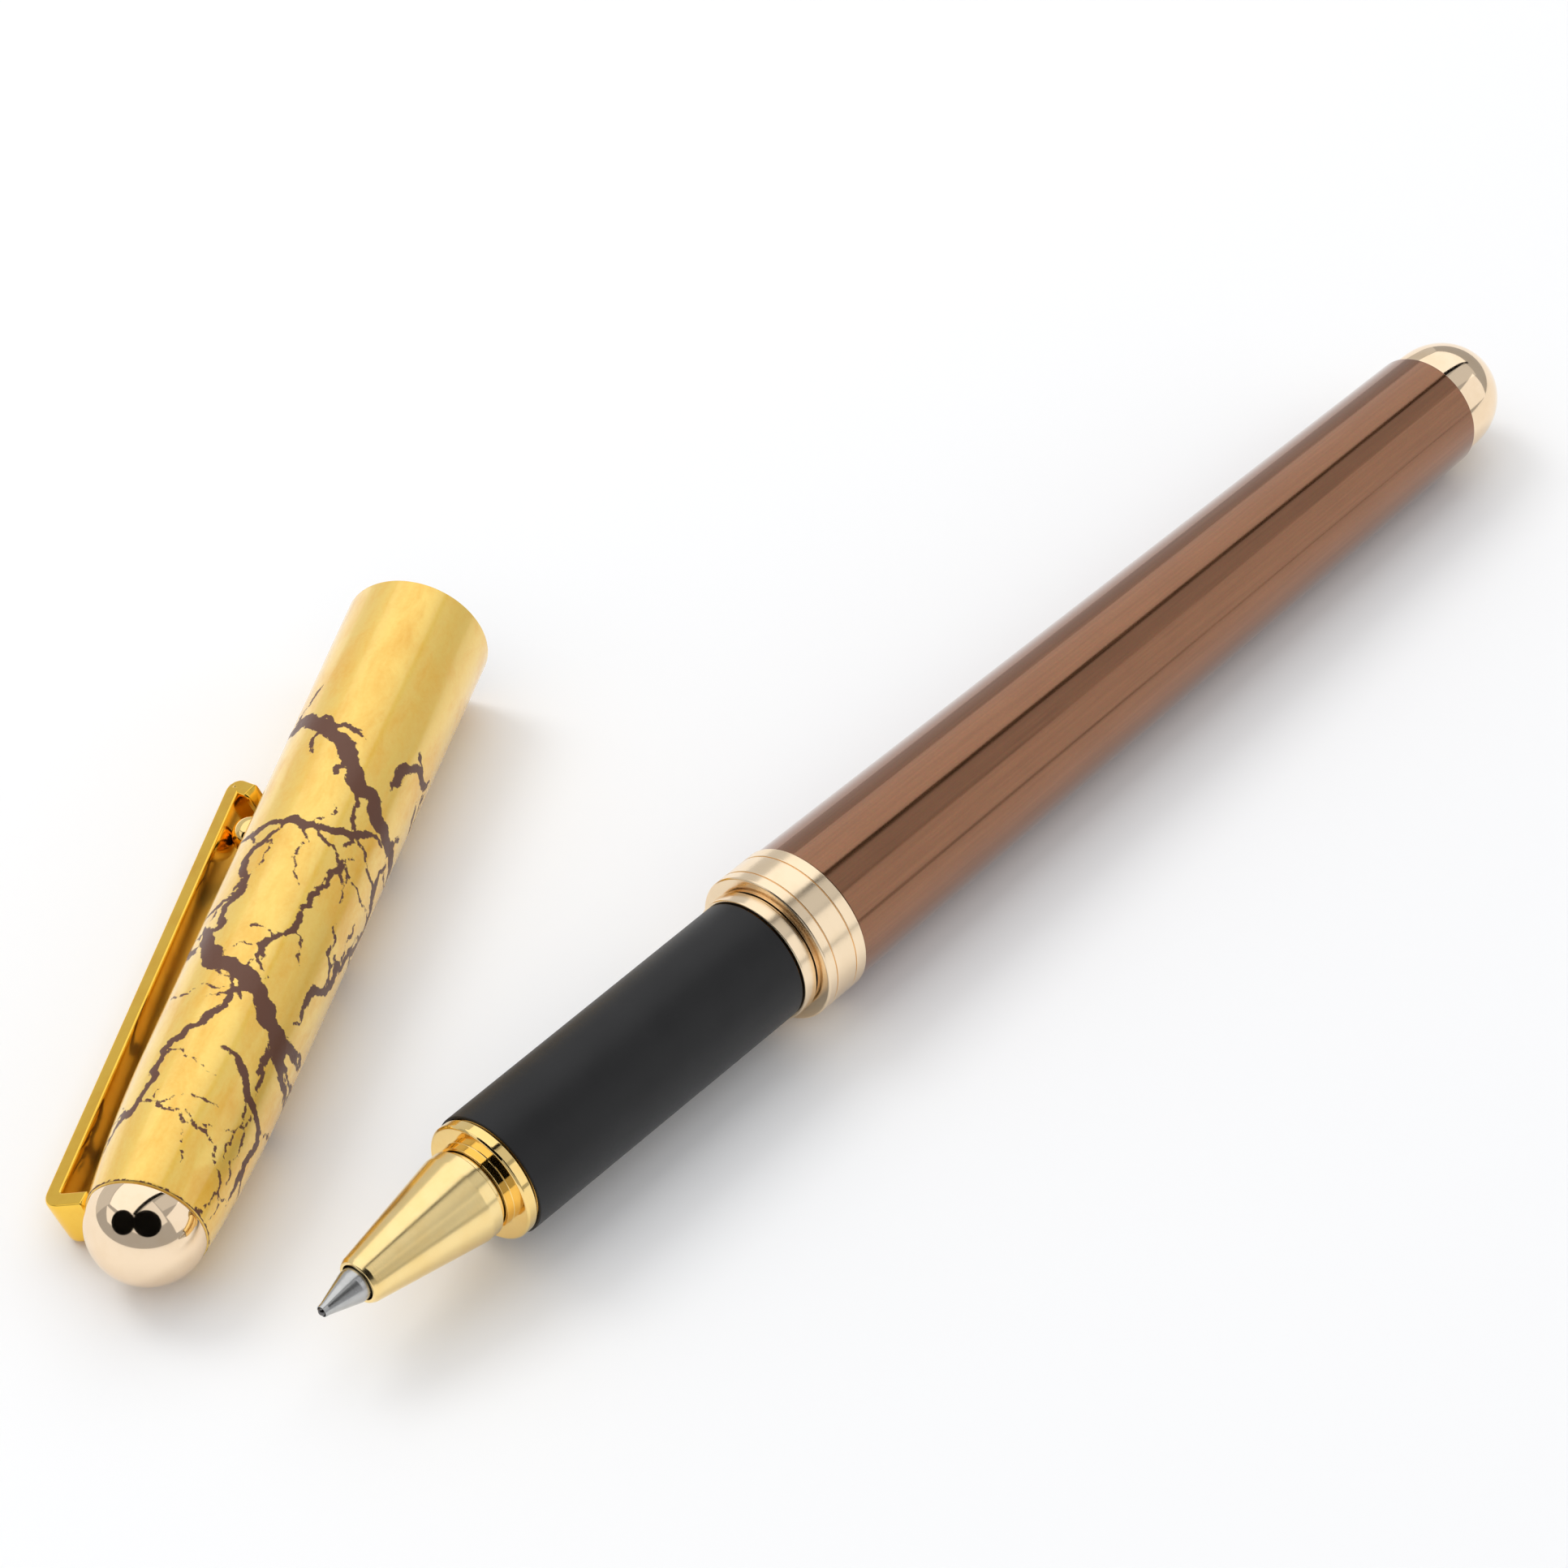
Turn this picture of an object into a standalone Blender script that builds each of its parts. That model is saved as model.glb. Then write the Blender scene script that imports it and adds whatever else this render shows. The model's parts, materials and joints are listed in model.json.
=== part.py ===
"""Rollerball pen lying on a desk, with its cap pulled off and laid beside it.

The pen lies along X with its writing ball towards -X and its domed tail towards +X.
It rests on its centre ring and on the rear edge of its barrel. The cap rests on its own
tube and on the lower corner of its clip's free end. The floor is Z = 0, and the origin is
the middle of the footprint.

Turned pieces are drawn as profiles of (x, radius) along their own X axis. The pen's
stations count from the front of the writing ball. The cap's count from the plane where
its finial meets the tube, towards the mouth.
"""

import math

import bmesh
import bpy
from mathutils import Matrix, Vector

MM = 0.001

# Fits
SEAT_GAP = 0.10 * MM  # between faces that seat on each other, and round pressed pieces
SLIDE_GAP = 0.15 * MM  # round pieces that slide or turn
BALL_GAP = 0.06 * MM  # between the writing ball and its socket

# Refill
BALL_RADIUS = 0.30 * MM
BALL_SHOWN = 0.20 * MM  # how far the ball stands out of its socket
TIP_MOUTH_WALL = 0.07 * MM
TIP_RADIUS = 1.17 * MM
TIP_CONE_END = 2.84 * MM
TIP_END = 7.0 * MM
INK_CHANNEL_RADIUS = 0.25 * MM
WICK_RADIUS = 0.50 * MM
WICK_START = 2.8 * MM
WICK_SEAT_LENGTH = 0.20 * MM
HOLDER_START = 5.2 * MM
HOLDER_FRONT_WALL = 0.18 * MM
HOLDER_NECK_RADIUS = 2.15 * MM
HOLDER_PLUG_LENGTH = 6.0 * MM
HOLDER_STEP_LENGTH = 2.0 * MM
HOLDER_PLAY = 0.20 * MM  # behind the nose's shank
REFILL_RADIUS = 3.05 * MM
REFILL_WALL = 0.35 * MM
REFILL_PLUG_LENGTH = 3.4 * MM
REFILL_PLUG_HEAD = 1.4 * MM
REFILL_TRAVEL = 1.2 * MM

# Nose
NOSE_START = 3.3 * MM  # how far the refill's tip reaches out of the nose
NOSE_HOLE_GAP = 0.13 * MM
NOSE_FRONT_RADIUS = 1.52 * MM
NOSE_CHAMFER_LENGTH = 0.30 * MM
NOSE_SMALL_RADIUS = 1.68 * MM
NOSE_LARGE_RADIUS = 3.18 * MM
NOSE_CONE_LENGTH = 8.9 * MM
NOSE_LAND_LENGTH = 0.88 * MM
NOSE_WALL = 0.21 * MM  # where the bore meets the holder
NOSE_FLOOR_GAP = 0.30 * MM  # ahead of the holder
NECK_RADIUS = 2.98 * MM
NECK_LENGTH = 0.38 * MM
NOSE_SHANK_RADIUS = 2.78 * MM
NOSE_SHANK_WALL = 0.36 * MM
NOSE_SHANK_LENGTH = 4.4 * MM
STEP_RADIUS = 3.10 * MM
STEP_LENGTH = 0.58 * MM
FLANGE_RADIUS = 4.31 * MM
FLANGE_LENGTH = 0.88 * MM
FLANGE_ROUND = 0.16 * MM

# Writing section
CORE_CLEARANCE = 0.30 * MM  # round the refill
CORE_WALL = 0.75 * MM
GRIP_LENGTH = 25.25 * MM
GRIP_FRONT_WALL = 0.24 * MM
GRIP_REAR_WALL = 0.32 * MM
GRIP_ROUND = 0.12 * MM
COLLAR_LENGTH = 1.30 * MM
COLLAR_BEAD_LENGTH = 0.92 * MM
COLLAR_BEAD_HEIGHT = 0.60 * MM  # above the core
COLLAR_CROWN = 0.20 * MM  # the rise of the bead's round top
COLLAR_GROOVE_HEIGHT = 0.38 * MM
O_RING_SECTION = 0.17 * MM
O_RING_PLACE = 0.62 * MM  # behind the collar's rear face
THREAD_STEP = 0.22 * MM  # from the core down to the thread's crest
THREAD_PITCH = 0.75 * MM
THREAD_DEPTH = 0.20 * MM
THREAD_TURNS = 8
CORE_SPIGOT_LENGTH = 1.15 * MM  # plain length inside the ring

# Barrel
RING_LENGTH = 3.76 * MM
RING_HEIGHT = 1.30 * MM  # above its bore
RING_FRONT_BAND = 0.86 * MM
RING_MIDDLE_BAND = 1.93 * MM
RING_GROOVE = 0.09 * MM
RING_ROUND = 0.12 * MM
RING_LIP_LENGTH = 1.25 * MM
RING_RECESS_DEPTH = 0.25 * MM  # clears the collar, inside the cap's rim
BARREL_STEP = 0.12 * MM  # the ring stands this much proud of the barrel
BARREL_LENGTH = 72.85 * MM
BARREL_TAPER = 0.82 * MM  # loss of radius to the tail
BARREL_WALL = 0.45 * MM
BUSH_LENGTH = 8.4 * MM
TAIL_PLUG_LENGTH = 7.2 * MM
TAIL_STUD_RADIUS = 1.5 * MM
TAIL_STUD_LENGTH = 3.2 * MM
TAIL_DOME_STEP = 0.27 * MM
TAIL_DOME_LAND = 1.9 * MM
TAIL_DOME_RISE = 4.7 * MM
SPRING_LENGTH = 6.1 * MM
SPRING_WIRE = 0.22 * MM
SPRING_TURNS = 5
SPRING_SEAT_DEPTH = 2.6 * MM

# Cap
CAP_END_ROOM = 14.86 * MM  # from the seated ball to the finial
CAP_MOUTH_CLEARANCE = 0.23 * MM  # round the collar's bead
CAP_WALL = 0.38 * MM
CAP_TAPER = 0.57 * MM
CAP_END_LENGTH = 12.0 * MM  # where the tube starts to close in on the finial
CAP_END_DROP = 0.65 * MM
CAP_END_STEPS = 5
CAP_LIP_THICKNESS = 0.45 * MM
FINIAL_RADIUS = 4.02 * MM
FINIAL_RISE = 3.75 * MM
FINIAL_BOSS_RADIUS = 2.9 * MM
FINIAL_BOSS_LENGTH = 0.5 * MM
FINIAL_HOLE_DEPTH = 2.4 * MM
STUD_RADIUS = 1.2 * MM
STUD_LENGTH = 9.6 * MM
END_BUSH_LENGTH = 5.4 * MM
LINER_START = 8.2 * MM
LINER_FLOOR = 1.3 * MM
LINER_BORE_CLEARANCE = 0.42 * MM  # round the nose cone
SNAP_SLEEVE_LENGTH = 8.5 * MM
SNAP_SLEEVE_INSET = 2.2 * MM
SNAP_SLEEVE_CLEARANCE = 0.12 * MM  # round the grip

# Clip, as a bent strip standing off the tube
CLIP_LENGTH = 41.7 * MM
CLIP_THICKNESS = 1.25 * MM
CLIP_ROOT_WIDTH = 3.5 * MM
CLIP_END_WIDTH = 3.0 * MM
CLIP_ROOT_HEIGHT = 3.63 * MM  # its back above the tube, at the root
CLIP_END_HEIGHT = 4.28 * MM
CLIP_ROOT_START = 0.75 * MM
CLIP_ROOT_THICKNESS = 1.45 * MM
CLIP_STANDOFF = 0.16 * MM
CLIP_ROUND = 0.22 * MM
CLIP_ROOT_ROUND = 0.66 * MM  # where the back turns down at the root
CLIP_END_ROUND = 1.0 * MM
CLIP_LIP_LEAN = 0.9 * MM  # the turned-in end leans back to the root
CLIP_LIP_DROP = 1.3 * MM  # below the round of the end
CLIP_LIP_THICKNESS = 1.0 * MM
CLIP_INNER_BEND = 0.60 * MM
TANG_WIDTH = 2.4 * MM
TANG_LENGTH = 1.1 * MM
TANG_DEPTH = 0.9 * MM
TANG_PLAY = 0.20 * MM
BEAD_PLACE = 37.0 * MM
BEAD_GAP = 0.05 * MM

# How the two lie on the floor
CAP_PLACE = Vector((-1.20 * MM, 14.25 * MM, 0.0))  # the finial's plane, from the writing ball
CAP_HEADING = math.radians(26.7)
CLIP_DIP = math.radians(23.5)  # below level, on the side away from the pen

# Faces round each turned piece
OUTER_SIDES = 36
INNER_SIDES = 24
BALL_SIDES = 16

# Pen stations, from the front of the ball
CONE_START = NOSE_START + NOSE_CHAMFER_LENGTH
CONE_END = CONE_START + NOSE_CONE_LENGTH - NOSE_CHAMFER_LENGTH
LAND_END = CONE_END + NOSE_LAND_LENGTH
NECK_END = LAND_END + NECK_LENGTH
FLANGE_START = NECK_END + SEAT_GAP + STEP_LENGTH
FLANGE_END = FLANGE_START + FLANGE_LENGTH
GRIP_START = FLANGE_END + SEAT_GAP
GRIP_END = GRIP_START + GRIP_LENGTH
COLLAR_START = GRIP_END + SEAT_GAP
COLLAR_END = COLLAR_START + COLLAR_LENGTH
RING_START = COLLAR_END + SEAT_GAP
RING_END = RING_START + RING_LENGTH
BARREL_START = RING_END + SEAT_GAP
BARREL_END = BARREL_START + BARREL_LENGTH
TAIL_START = BARREL_END + SEAT_GAP
NOSE_SHANK_END = NECK_END + NOSE_SHANK_LENGTH
SPIGOT_END = RING_START + CORE_SPIGOT_LENGTH
THREAD_END = SPIGOT_END + THREAD_TURNS * THREAD_PITCH
BUSH_START = RING_START + RING_LIP_LENGTH + SEAT_GAP
BUSH_END = BUSH_START + BUSH_LENGTH
TAIL_PLUG_END = BARREL_END - SEAT_GAP
TAIL_PLUG_START = TAIL_PLUG_END - TAIL_PLUG_LENGTH
SPRING_END = TAIL_PLUG_START + SPRING_SEAT_DEPTH - SEAT_GAP
SPRING_START = SPRING_END - SPRING_LENGTH
REFILL_END = SPRING_START - SEAT_GAP
REFILL_TUBE_END = REFILL_END - REFILL_PLUG_HEAD - SEAT_GAP
HOLDER_STEP = NOSE_SHANK_END + HOLDER_PLAY
REFILL_TUBE_START = HOLDER_STEP + HOLDER_STEP_LENGTH + SEAT_GAP
HOLDER_END = REFILL_TUBE_START + HOLDER_PLUG_LENGTH

# Pen radii, from the refill outwards
REFILL_BORE = REFILL_RADIUS - REFILL_WALL
CORE_BORE = REFILL_RADIUS + CORE_CLEARANCE
CORE_RADIUS = CORE_BORE + CORE_WALL
SLEEVE_BORE = CORE_RADIUS + SEAT_GAP
GRIP_FRONT_RADIUS = SLEEVE_BORE + GRIP_FRONT_WALL
GRIP_REAR_RADIUS = SLEEVE_BORE + GRIP_REAR_WALL
COLLAR_RADIUS = CORE_RADIUS + COLLAR_BEAD_HEIGHT
RING_BORE = CORE_RADIUS + SLIDE_GAP
RING_RADIUS = RING_BORE + RING_HEIGHT
THREAD_RADIUS = CORE_RADIUS - THREAD_STEP
BARREL_FRONT_RADIUS = RING_RADIUS - BARREL_STEP
BARREL_REAR_RADIUS = BARREL_FRONT_RADIUS - BARREL_TAPER

# Cap stations and radii
CAP_SEAT_DEPTH = RING_START - SEAT_GAP
CAP_LENGTH = CAP_SEAT_DEPTH + CAP_END_ROOM
CAP_MOUTH_RADIUS = COLLAR_RADIUS + CAP_MOUTH_CLEARANCE + CAP_WALL
CAP_END_RADIUS = CAP_MOUTH_RADIUS - CAP_TAPER


def barrel_radius(x):
    """The barrel's outer radius at a pen station."""
    return BARREL_FRONT_RADIUS - BARREL_TAPER * (x - BARREL_START) / BARREL_LENGTH


def cap_radius(s):
    """The cap tube's outer radius at a cap station: a cone that closes in on the finial."""
    closing = max(0.0, 1 - s / CAP_END_LENGTH)
    return CAP_END_RADIUS + CAP_TAPER * s / CAP_LENGTH - CAP_END_DROP * closing**2


def clear_scene():
    """Remove every object, so that the script always starts from nothing."""
    for obj in list(bpy.data.objects):
        bpy.data.objects.remove(obj, do_unlink=True)


def principled(name, colour, roughness, metallic):
    """A plain material with the piece's colour, roughness and metallic value."""
    material = bpy.data.materials.new(name)
    material.use_nodes = True
    shader = material.node_tree.nodes["Principled BSDF"]
    shader.inputs["Base Color"].default_value = (*colour, 1.0)
    shader.inputs["Roughness"].default_value = roughness
    shader.inputs["Metallic"].default_value = metallic
    material.diffuse_color = (*colour, 1.0)
    return material


def make_materials():
    """One material for each finish, by name."""
    finishes = {
        "brown_lacquer": ((0.19, 0.085, 0.035), 0.22, 0.3),
        "gold_leaf": ((0.86, 0.58, 0.10), 0.34, 1.0),
        "yellow_gold": ((0.95, 0.66, 0.14), 0.12, 1.0),
        "champagne_gold": ((0.88, 0.74, 0.52), 0.18, 1.0),
        "black_rubber_paint": ((0.02, 0.02, 0.022), 0.55, 0.0),
        "brass": ((0.78, 0.57, 0.26), 0.30, 1.0),
        "stainless_steel": ((0.55, 0.55, 0.55), 0.28, 1.0),
        "tungsten_carbide": ((0.30, 0.30, 0.31), 0.15, 1.0),
        "black_plastic": ((0.03, 0.03, 0.03), 0.42, 0.0),
        "white_plastic": ((0.80, 0.80, 0.78), 0.45, 0.0),
        "ink_fibre": ((0.03, 0.04, 0.16), 0.90, 0.0),
        "nitrile_rubber": ((0.015, 0.015, 0.015), 0.65, 0.0),
    }
    return {name: principled(name, *values) for name, values in finishes.items()}


def empty(name, parent=None, place=(0.0, 0.0, 0.0)):
    """An empty that carries an assembly or marks a joint's axis."""
    obj = bpy.data.objects.new(name, None)
    obj.empty_display_size = 5 * MM
    obj.location = place
    obj.parent = parent
    bpy.context.collection.objects.link(obj)
    return obj


def object_from(name, mesh_builder, material, parent, place=(0.0, 0.0, 0.0)):
    """Link a bmesh as a smooth-shaded object with sharp edges kept above 35 degrees."""
    mesh = bpy.data.meshes.new(name)
    bmesh.ops.recalc_face_normals(mesh_builder, faces=mesh_builder.faces)
    mesh_builder.to_mesh(mesh)
    mesh_builder.free()
    mesh.shade_smooth()
    mesh.set_sharp_from_angle(angle=math.radians(35))
    mesh.materials.append(material)
    obj = bpy.data.objects.new(name, mesh)
    obj.parent = parent
    obj.location = place
    bpy.context.collection.objects.link(obj)
    return obj


def turned(name, profile, material, parent, sides=OUTER_SIDES, place=(0.0, 0.0, 0.0)):
    """Spin a closed outline of (x, radius) about X; an outline on the axis is left open there."""
    builder = bmesh.new()
    points = [builder.verts.new((x, 0.0, r)) for x, r in profile]
    solid = profile[0][1] == 0.0 and profile[-1][1] == 0.0
    pairs = list(zip(points, points[1:]))
    if not solid:
        pairs.append((points[-1], points[0]))
    edges = [builder.edges.new(pair) for pair in pairs]
    bmesh.ops.spin(
        builder, geom=points + edges, cent=(0, 0, 0), axis=(1, 0, 0),
        angle=2 * math.pi, steps=sides, use_merge=True,
    )
    bmesh.ops.remove_doubles(builder, verts=builder.verts, dist=1e-7)
    return object_from(name, builder, material, parent, place)


def arc(centre, radii, start, end, steps):
    """Points on an elliptical arc; angles in degrees from the +x direction towards +radius."""
    points = []
    for i in range(steps + 1):
        angle = math.radians(start + (end - start) * i / steps)
        points.append(
            (centre[0] + radii[0] * math.cos(angle), centre[1] + radii[1] * math.sin(angle))
        )
    return points


def extruded(name, outline, widths, material, parent, place=(0.0, 0.0, 0.0)):
    """Extrude an outline of (x, z) across Y, with the width given at each point."""
    builder = bmesh.new()
    near = [builder.verts.new((x, -w / 2, z)) for (x, z), w in zip(outline, widths)]
    face = builder.faces.new(near)
    grown = bmesh.ops.extrude_face_region(builder, geom=[face])["geom"]
    for vert in (item for item in grown if isinstance(item, bmesh.types.BMVert)):
        vert.co.y = -vert.co.y
    return object_from(name, builder, material, parent, place)


def block(name, low, high, parent, place=(0.0, 0.0, 0.0)):
    """A box used as a cutter or joined into another piece; it isn't a piece of its own."""
    builder = bmesh.new()
    bmesh.ops.create_cube(builder, size=1.0)
    size = Vector(high) - Vector(low)
    middle = (Vector(high) + Vector(low)) / 2
    bmesh.ops.transform(
        builder, matrix=Matrix.Translation(middle) @ Matrix.Diagonal((*size, 1.0)),
        verts=builder.verts,
    )
    mesh = bpy.data.meshes.new(name)
    builder.to_mesh(mesh)
    builder.free()
    obj = bpy.data.objects.new(name, mesh)
    obj.parent = parent
    obj.location = place
    obj.hide_render = True
    obj.display_type = "WIRE"
    bpy.context.collection.objects.link(obj)
    return obj


def boolean(obj, other, operation):
    """Cut or join with the exact solver."""
    modifier = obj.modifiers.new(operation.title(), "BOOLEAN")
    modifier.operation = operation
    modifier.solver = "EXACT"
    modifier.object = other


def build_refill(pen, materials):
    """The tip, its ball and wick, and the ink tube behind them."""
    mouth_radius = BALL_RADIUS + BALL_GAP
    socket_end = 2 * BALL_RADIUS + BALL_GAP
    ball = bmesh.new()
    bmesh.ops.create_uvsphere(
        ball, u_segments=BALL_SIDES, v_segments=BALL_SIDES // 2, radius=BALL_RADIUS
    )
    object_from(
        "writing_ball", ball, materials["tungsten_carbide"], pen, (BALL_RADIUS, 0.0, 0.0)
    )

    wick_bore = WICK_RADIUS + SEAT_GAP
    turned("refill_tip", [
        (BALL_SHOWN, mouth_radius + TIP_MOUTH_WALL),
        (TIP_CONE_END, TIP_RADIUS),
        (TIP_END, TIP_RADIUS),
        (TIP_END, wick_bore),
        (WICK_START - SEAT_GAP, wick_bore),
        (WICK_START - SEAT_GAP - WICK_SEAT_LENGTH, INK_CHANNEL_RADIUS),
        (socket_end + BALL_GAP, INK_CHANNEL_RADIUS),
        (socket_end, mouth_radius),
        (BALL_SHOWN, mouth_radius),
    ], materials["stainless_steel"], pen, INNER_SIDES)

    tip_bore = TIP_RADIUS + SEAT_GAP
    plug_radius = REFILL_BORE - SEAT_GAP
    turned("refill_holder", [
        (HOLDER_START, tip_bore + HOLDER_FRONT_WALL),
        (NECK_END - NECK_LENGTH, HOLDER_NECK_RADIUS),
        (HOLDER_STEP, HOLDER_NECK_RADIUS),
        (HOLDER_STEP, REFILL_RADIUS),
        (REFILL_TUBE_START - SEAT_GAP, REFILL_RADIUS),
        (REFILL_TUBE_START - SEAT_GAP, plug_radius),
        (HOLDER_END, plug_radius),
        (HOLDER_END, wick_bore),
        (TIP_END + SEAT_GAP, wick_bore),
        (TIP_END + SEAT_GAP, tip_bore),
        (HOLDER_START, tip_bore),
    ], materials["black_plastic"], pen, INNER_SIDES)

    fibre_start = HOLDER_END + SEAT_GAP
    turned("ink_wick", [
        (WICK_START, 0.0),
        (WICK_START, WICK_RADIUS),
        (HOLDER_END, WICK_RADIUS),
        (HOLDER_END, 0.0),
    ], materials["ink_fibre"], pen, BALL_SIDES)

    turned("refill_tube", [
        (REFILL_TUBE_START, REFILL_RADIUS),
        (REFILL_TUBE_END, REFILL_RADIUS),
        (REFILL_TUBE_END, REFILL_BORE),
        (REFILL_TUBE_START, REFILL_BORE),
    ], materials["white_plastic"], pen, INNER_SIDES)

    plug_start = REFILL_END - REFILL_PLUG_LENGTH
    turned("ink_reservoir", [
        (fibre_start, 0.0),
        (fibre_start, plug_radius),
        (plug_start - SEAT_GAP, plug_radius),
        (plug_start - SEAT_GAP, 0.0),
    ], materials["ink_fibre"], pen, INNER_SIDES)

    turned("refill_end_plug", [
        (plug_start, 0.0),
        (plug_start, plug_radius),
        (REFILL_TUBE_END + SEAT_GAP, plug_radius),
        (REFILL_TUBE_END + SEAT_GAP, REFILL_RADIUS),
        (REFILL_END, REFILL_RADIUS),
        (REFILL_END, 0.0),
    ], materials["black_plastic"], pen, INNER_SIDES)


def build_nose(pen, materials):
    """The polished cone that the tip comes out of, and the flange ring behind it."""
    hole = TIP_RADIUS + NOSE_HOLE_GAP
    slope = (NOSE_LARGE_RADIUS - NOSE_SMALL_RADIUS) / (CONE_END - CONE_START)
    bore_start = HOLDER_START - NOSE_FLOOR_GAP
    bore_front = NOSE_SMALL_RADIUS + slope * (bore_start - CONE_START) - NOSE_WALL
    shank_bore = NOSE_SHANK_RADIUS - NOSE_SHANK_WALL
    turned("nose_cone", [
        (NOSE_START, NOSE_FRONT_RADIUS),
        (CONE_START, NOSE_SMALL_RADIUS),
        (CONE_END, NOSE_LARGE_RADIUS),
        (LAND_END, NOSE_LARGE_RADIUS),
        (LAND_END, NECK_RADIUS),
        (NECK_END, NECK_RADIUS),
        (NECK_END, NOSE_SHANK_RADIUS),
        (NOSE_SHANK_END, NOSE_SHANK_RADIUS),
        (NOSE_SHANK_END, shank_bore),
        (CONE_END, shank_bore),
        (bore_start, bore_front),
        (bore_start, hole),
        (NOSE_START, hole),
    ], materials["yellow_gold"], pen)

    flange_bore = NOSE_SHANK_RADIUS + SEAT_GAP
    step_start = NECK_END + SEAT_GAP
    turned("nose_flange_ring", [
        (step_start, STEP_RADIUS),
        (FLANGE_START, STEP_RADIUS),
        (FLANGE_START, FLANGE_RADIUS - FLANGE_ROUND),
        (FLANGE_START + FLANGE_ROUND, FLANGE_RADIUS),
        (FLANGE_END, FLANGE_RADIUS),
        (FLANGE_END, flange_bore),
        (step_start, flange_bore),
    ], materials["yellow_gold"], pen)


def build_section(pen, materials):
    """The threaded core under the grip, the grip sleeve, the snap collar and the seal."""
    nose_bore = NOSE_SHANK_RADIUS + SEAT_GAP
    groove_middle = COLLAR_END + O_RING_PLACE
    groove_half = O_RING_SECTION + SEAT_GAP
    groove_floor = RING_BORE - 2 * O_RING_SECTION - SLIDE_GAP
    thread = []
    for turn in range(THREAD_TURNS):
        start = SPIGOT_END + turn * THREAD_PITCH
        thread.append((start, THREAD_RADIUS - THREAD_DEPTH))
        thread.append((start + THREAD_PITCH / 2, THREAD_RADIUS))
    turned("section_core", [
        (GRIP_START, CORE_RADIUS),
        (groove_middle - groove_half, CORE_RADIUS),
        (groove_middle - groove_half, groove_floor),
        (groove_middle + groove_half, groove_floor),
        (groove_middle + groove_half, CORE_RADIUS),
        (SPIGOT_END, CORE_RADIUS),
        *thread,
        (THREAD_END, THREAD_RADIUS - THREAD_DEPTH),
        (THREAD_END, CORE_BORE),
        (NOSE_SHANK_END + SEAT_GAP, CORE_BORE),
        (NOSE_SHANK_END + SEAT_GAP, nose_bore),
        (GRIP_START, nose_bore),
    ], materials["brass"], pen, INNER_SIDES)

    turned("grip_sleeve", [
        (GRIP_START, GRIP_FRONT_RADIUS - GRIP_ROUND),
        (GRIP_START + GRIP_ROUND, GRIP_FRONT_RADIUS),
        (GRIP_END - GRIP_ROUND, GRIP_REAR_RADIUS),
        (GRIP_END, GRIP_REAR_RADIUS - GRIP_ROUND),
        (GRIP_END, SLEEVE_BORE),
        (GRIP_START, SLEEVE_BORE),
    ], materials["black_rubber_paint"], pen)

    bead_end = COLLAR_START + COLLAR_BEAD_LENGTH
    bead = arc(
        ((COLLAR_START + bead_end) / 2, COLLAR_RADIUS - COLLAR_CROWN),
        (COLLAR_BEAD_LENGTH / 2, COLLAR_CROWN), 180, 0, 6,
    )
    groove_radius = CORE_RADIUS + COLLAR_GROOVE_HEIGHT
    turned("section_collar", [
        (COLLAR_START, SLEEVE_BORE),
        *bead,
        (bead_end, groove_radius),
        (COLLAR_END, groove_radius),
        (COLLAR_END, SLEEVE_BORE),
    ], materials["champagne_gold"], pen)

    ring_radius = RING_BORE - BALL_GAP - O_RING_SECTION
    turned(
        "section_o_ring",
        arc((0.0, ring_radius), (O_RING_SECTION, O_RING_SECTION), 360, 36, 9),
        materials["nitrile_rubber"], pen, INNER_SIDES, (groove_middle, 0.0, 0.0),
    )


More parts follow.
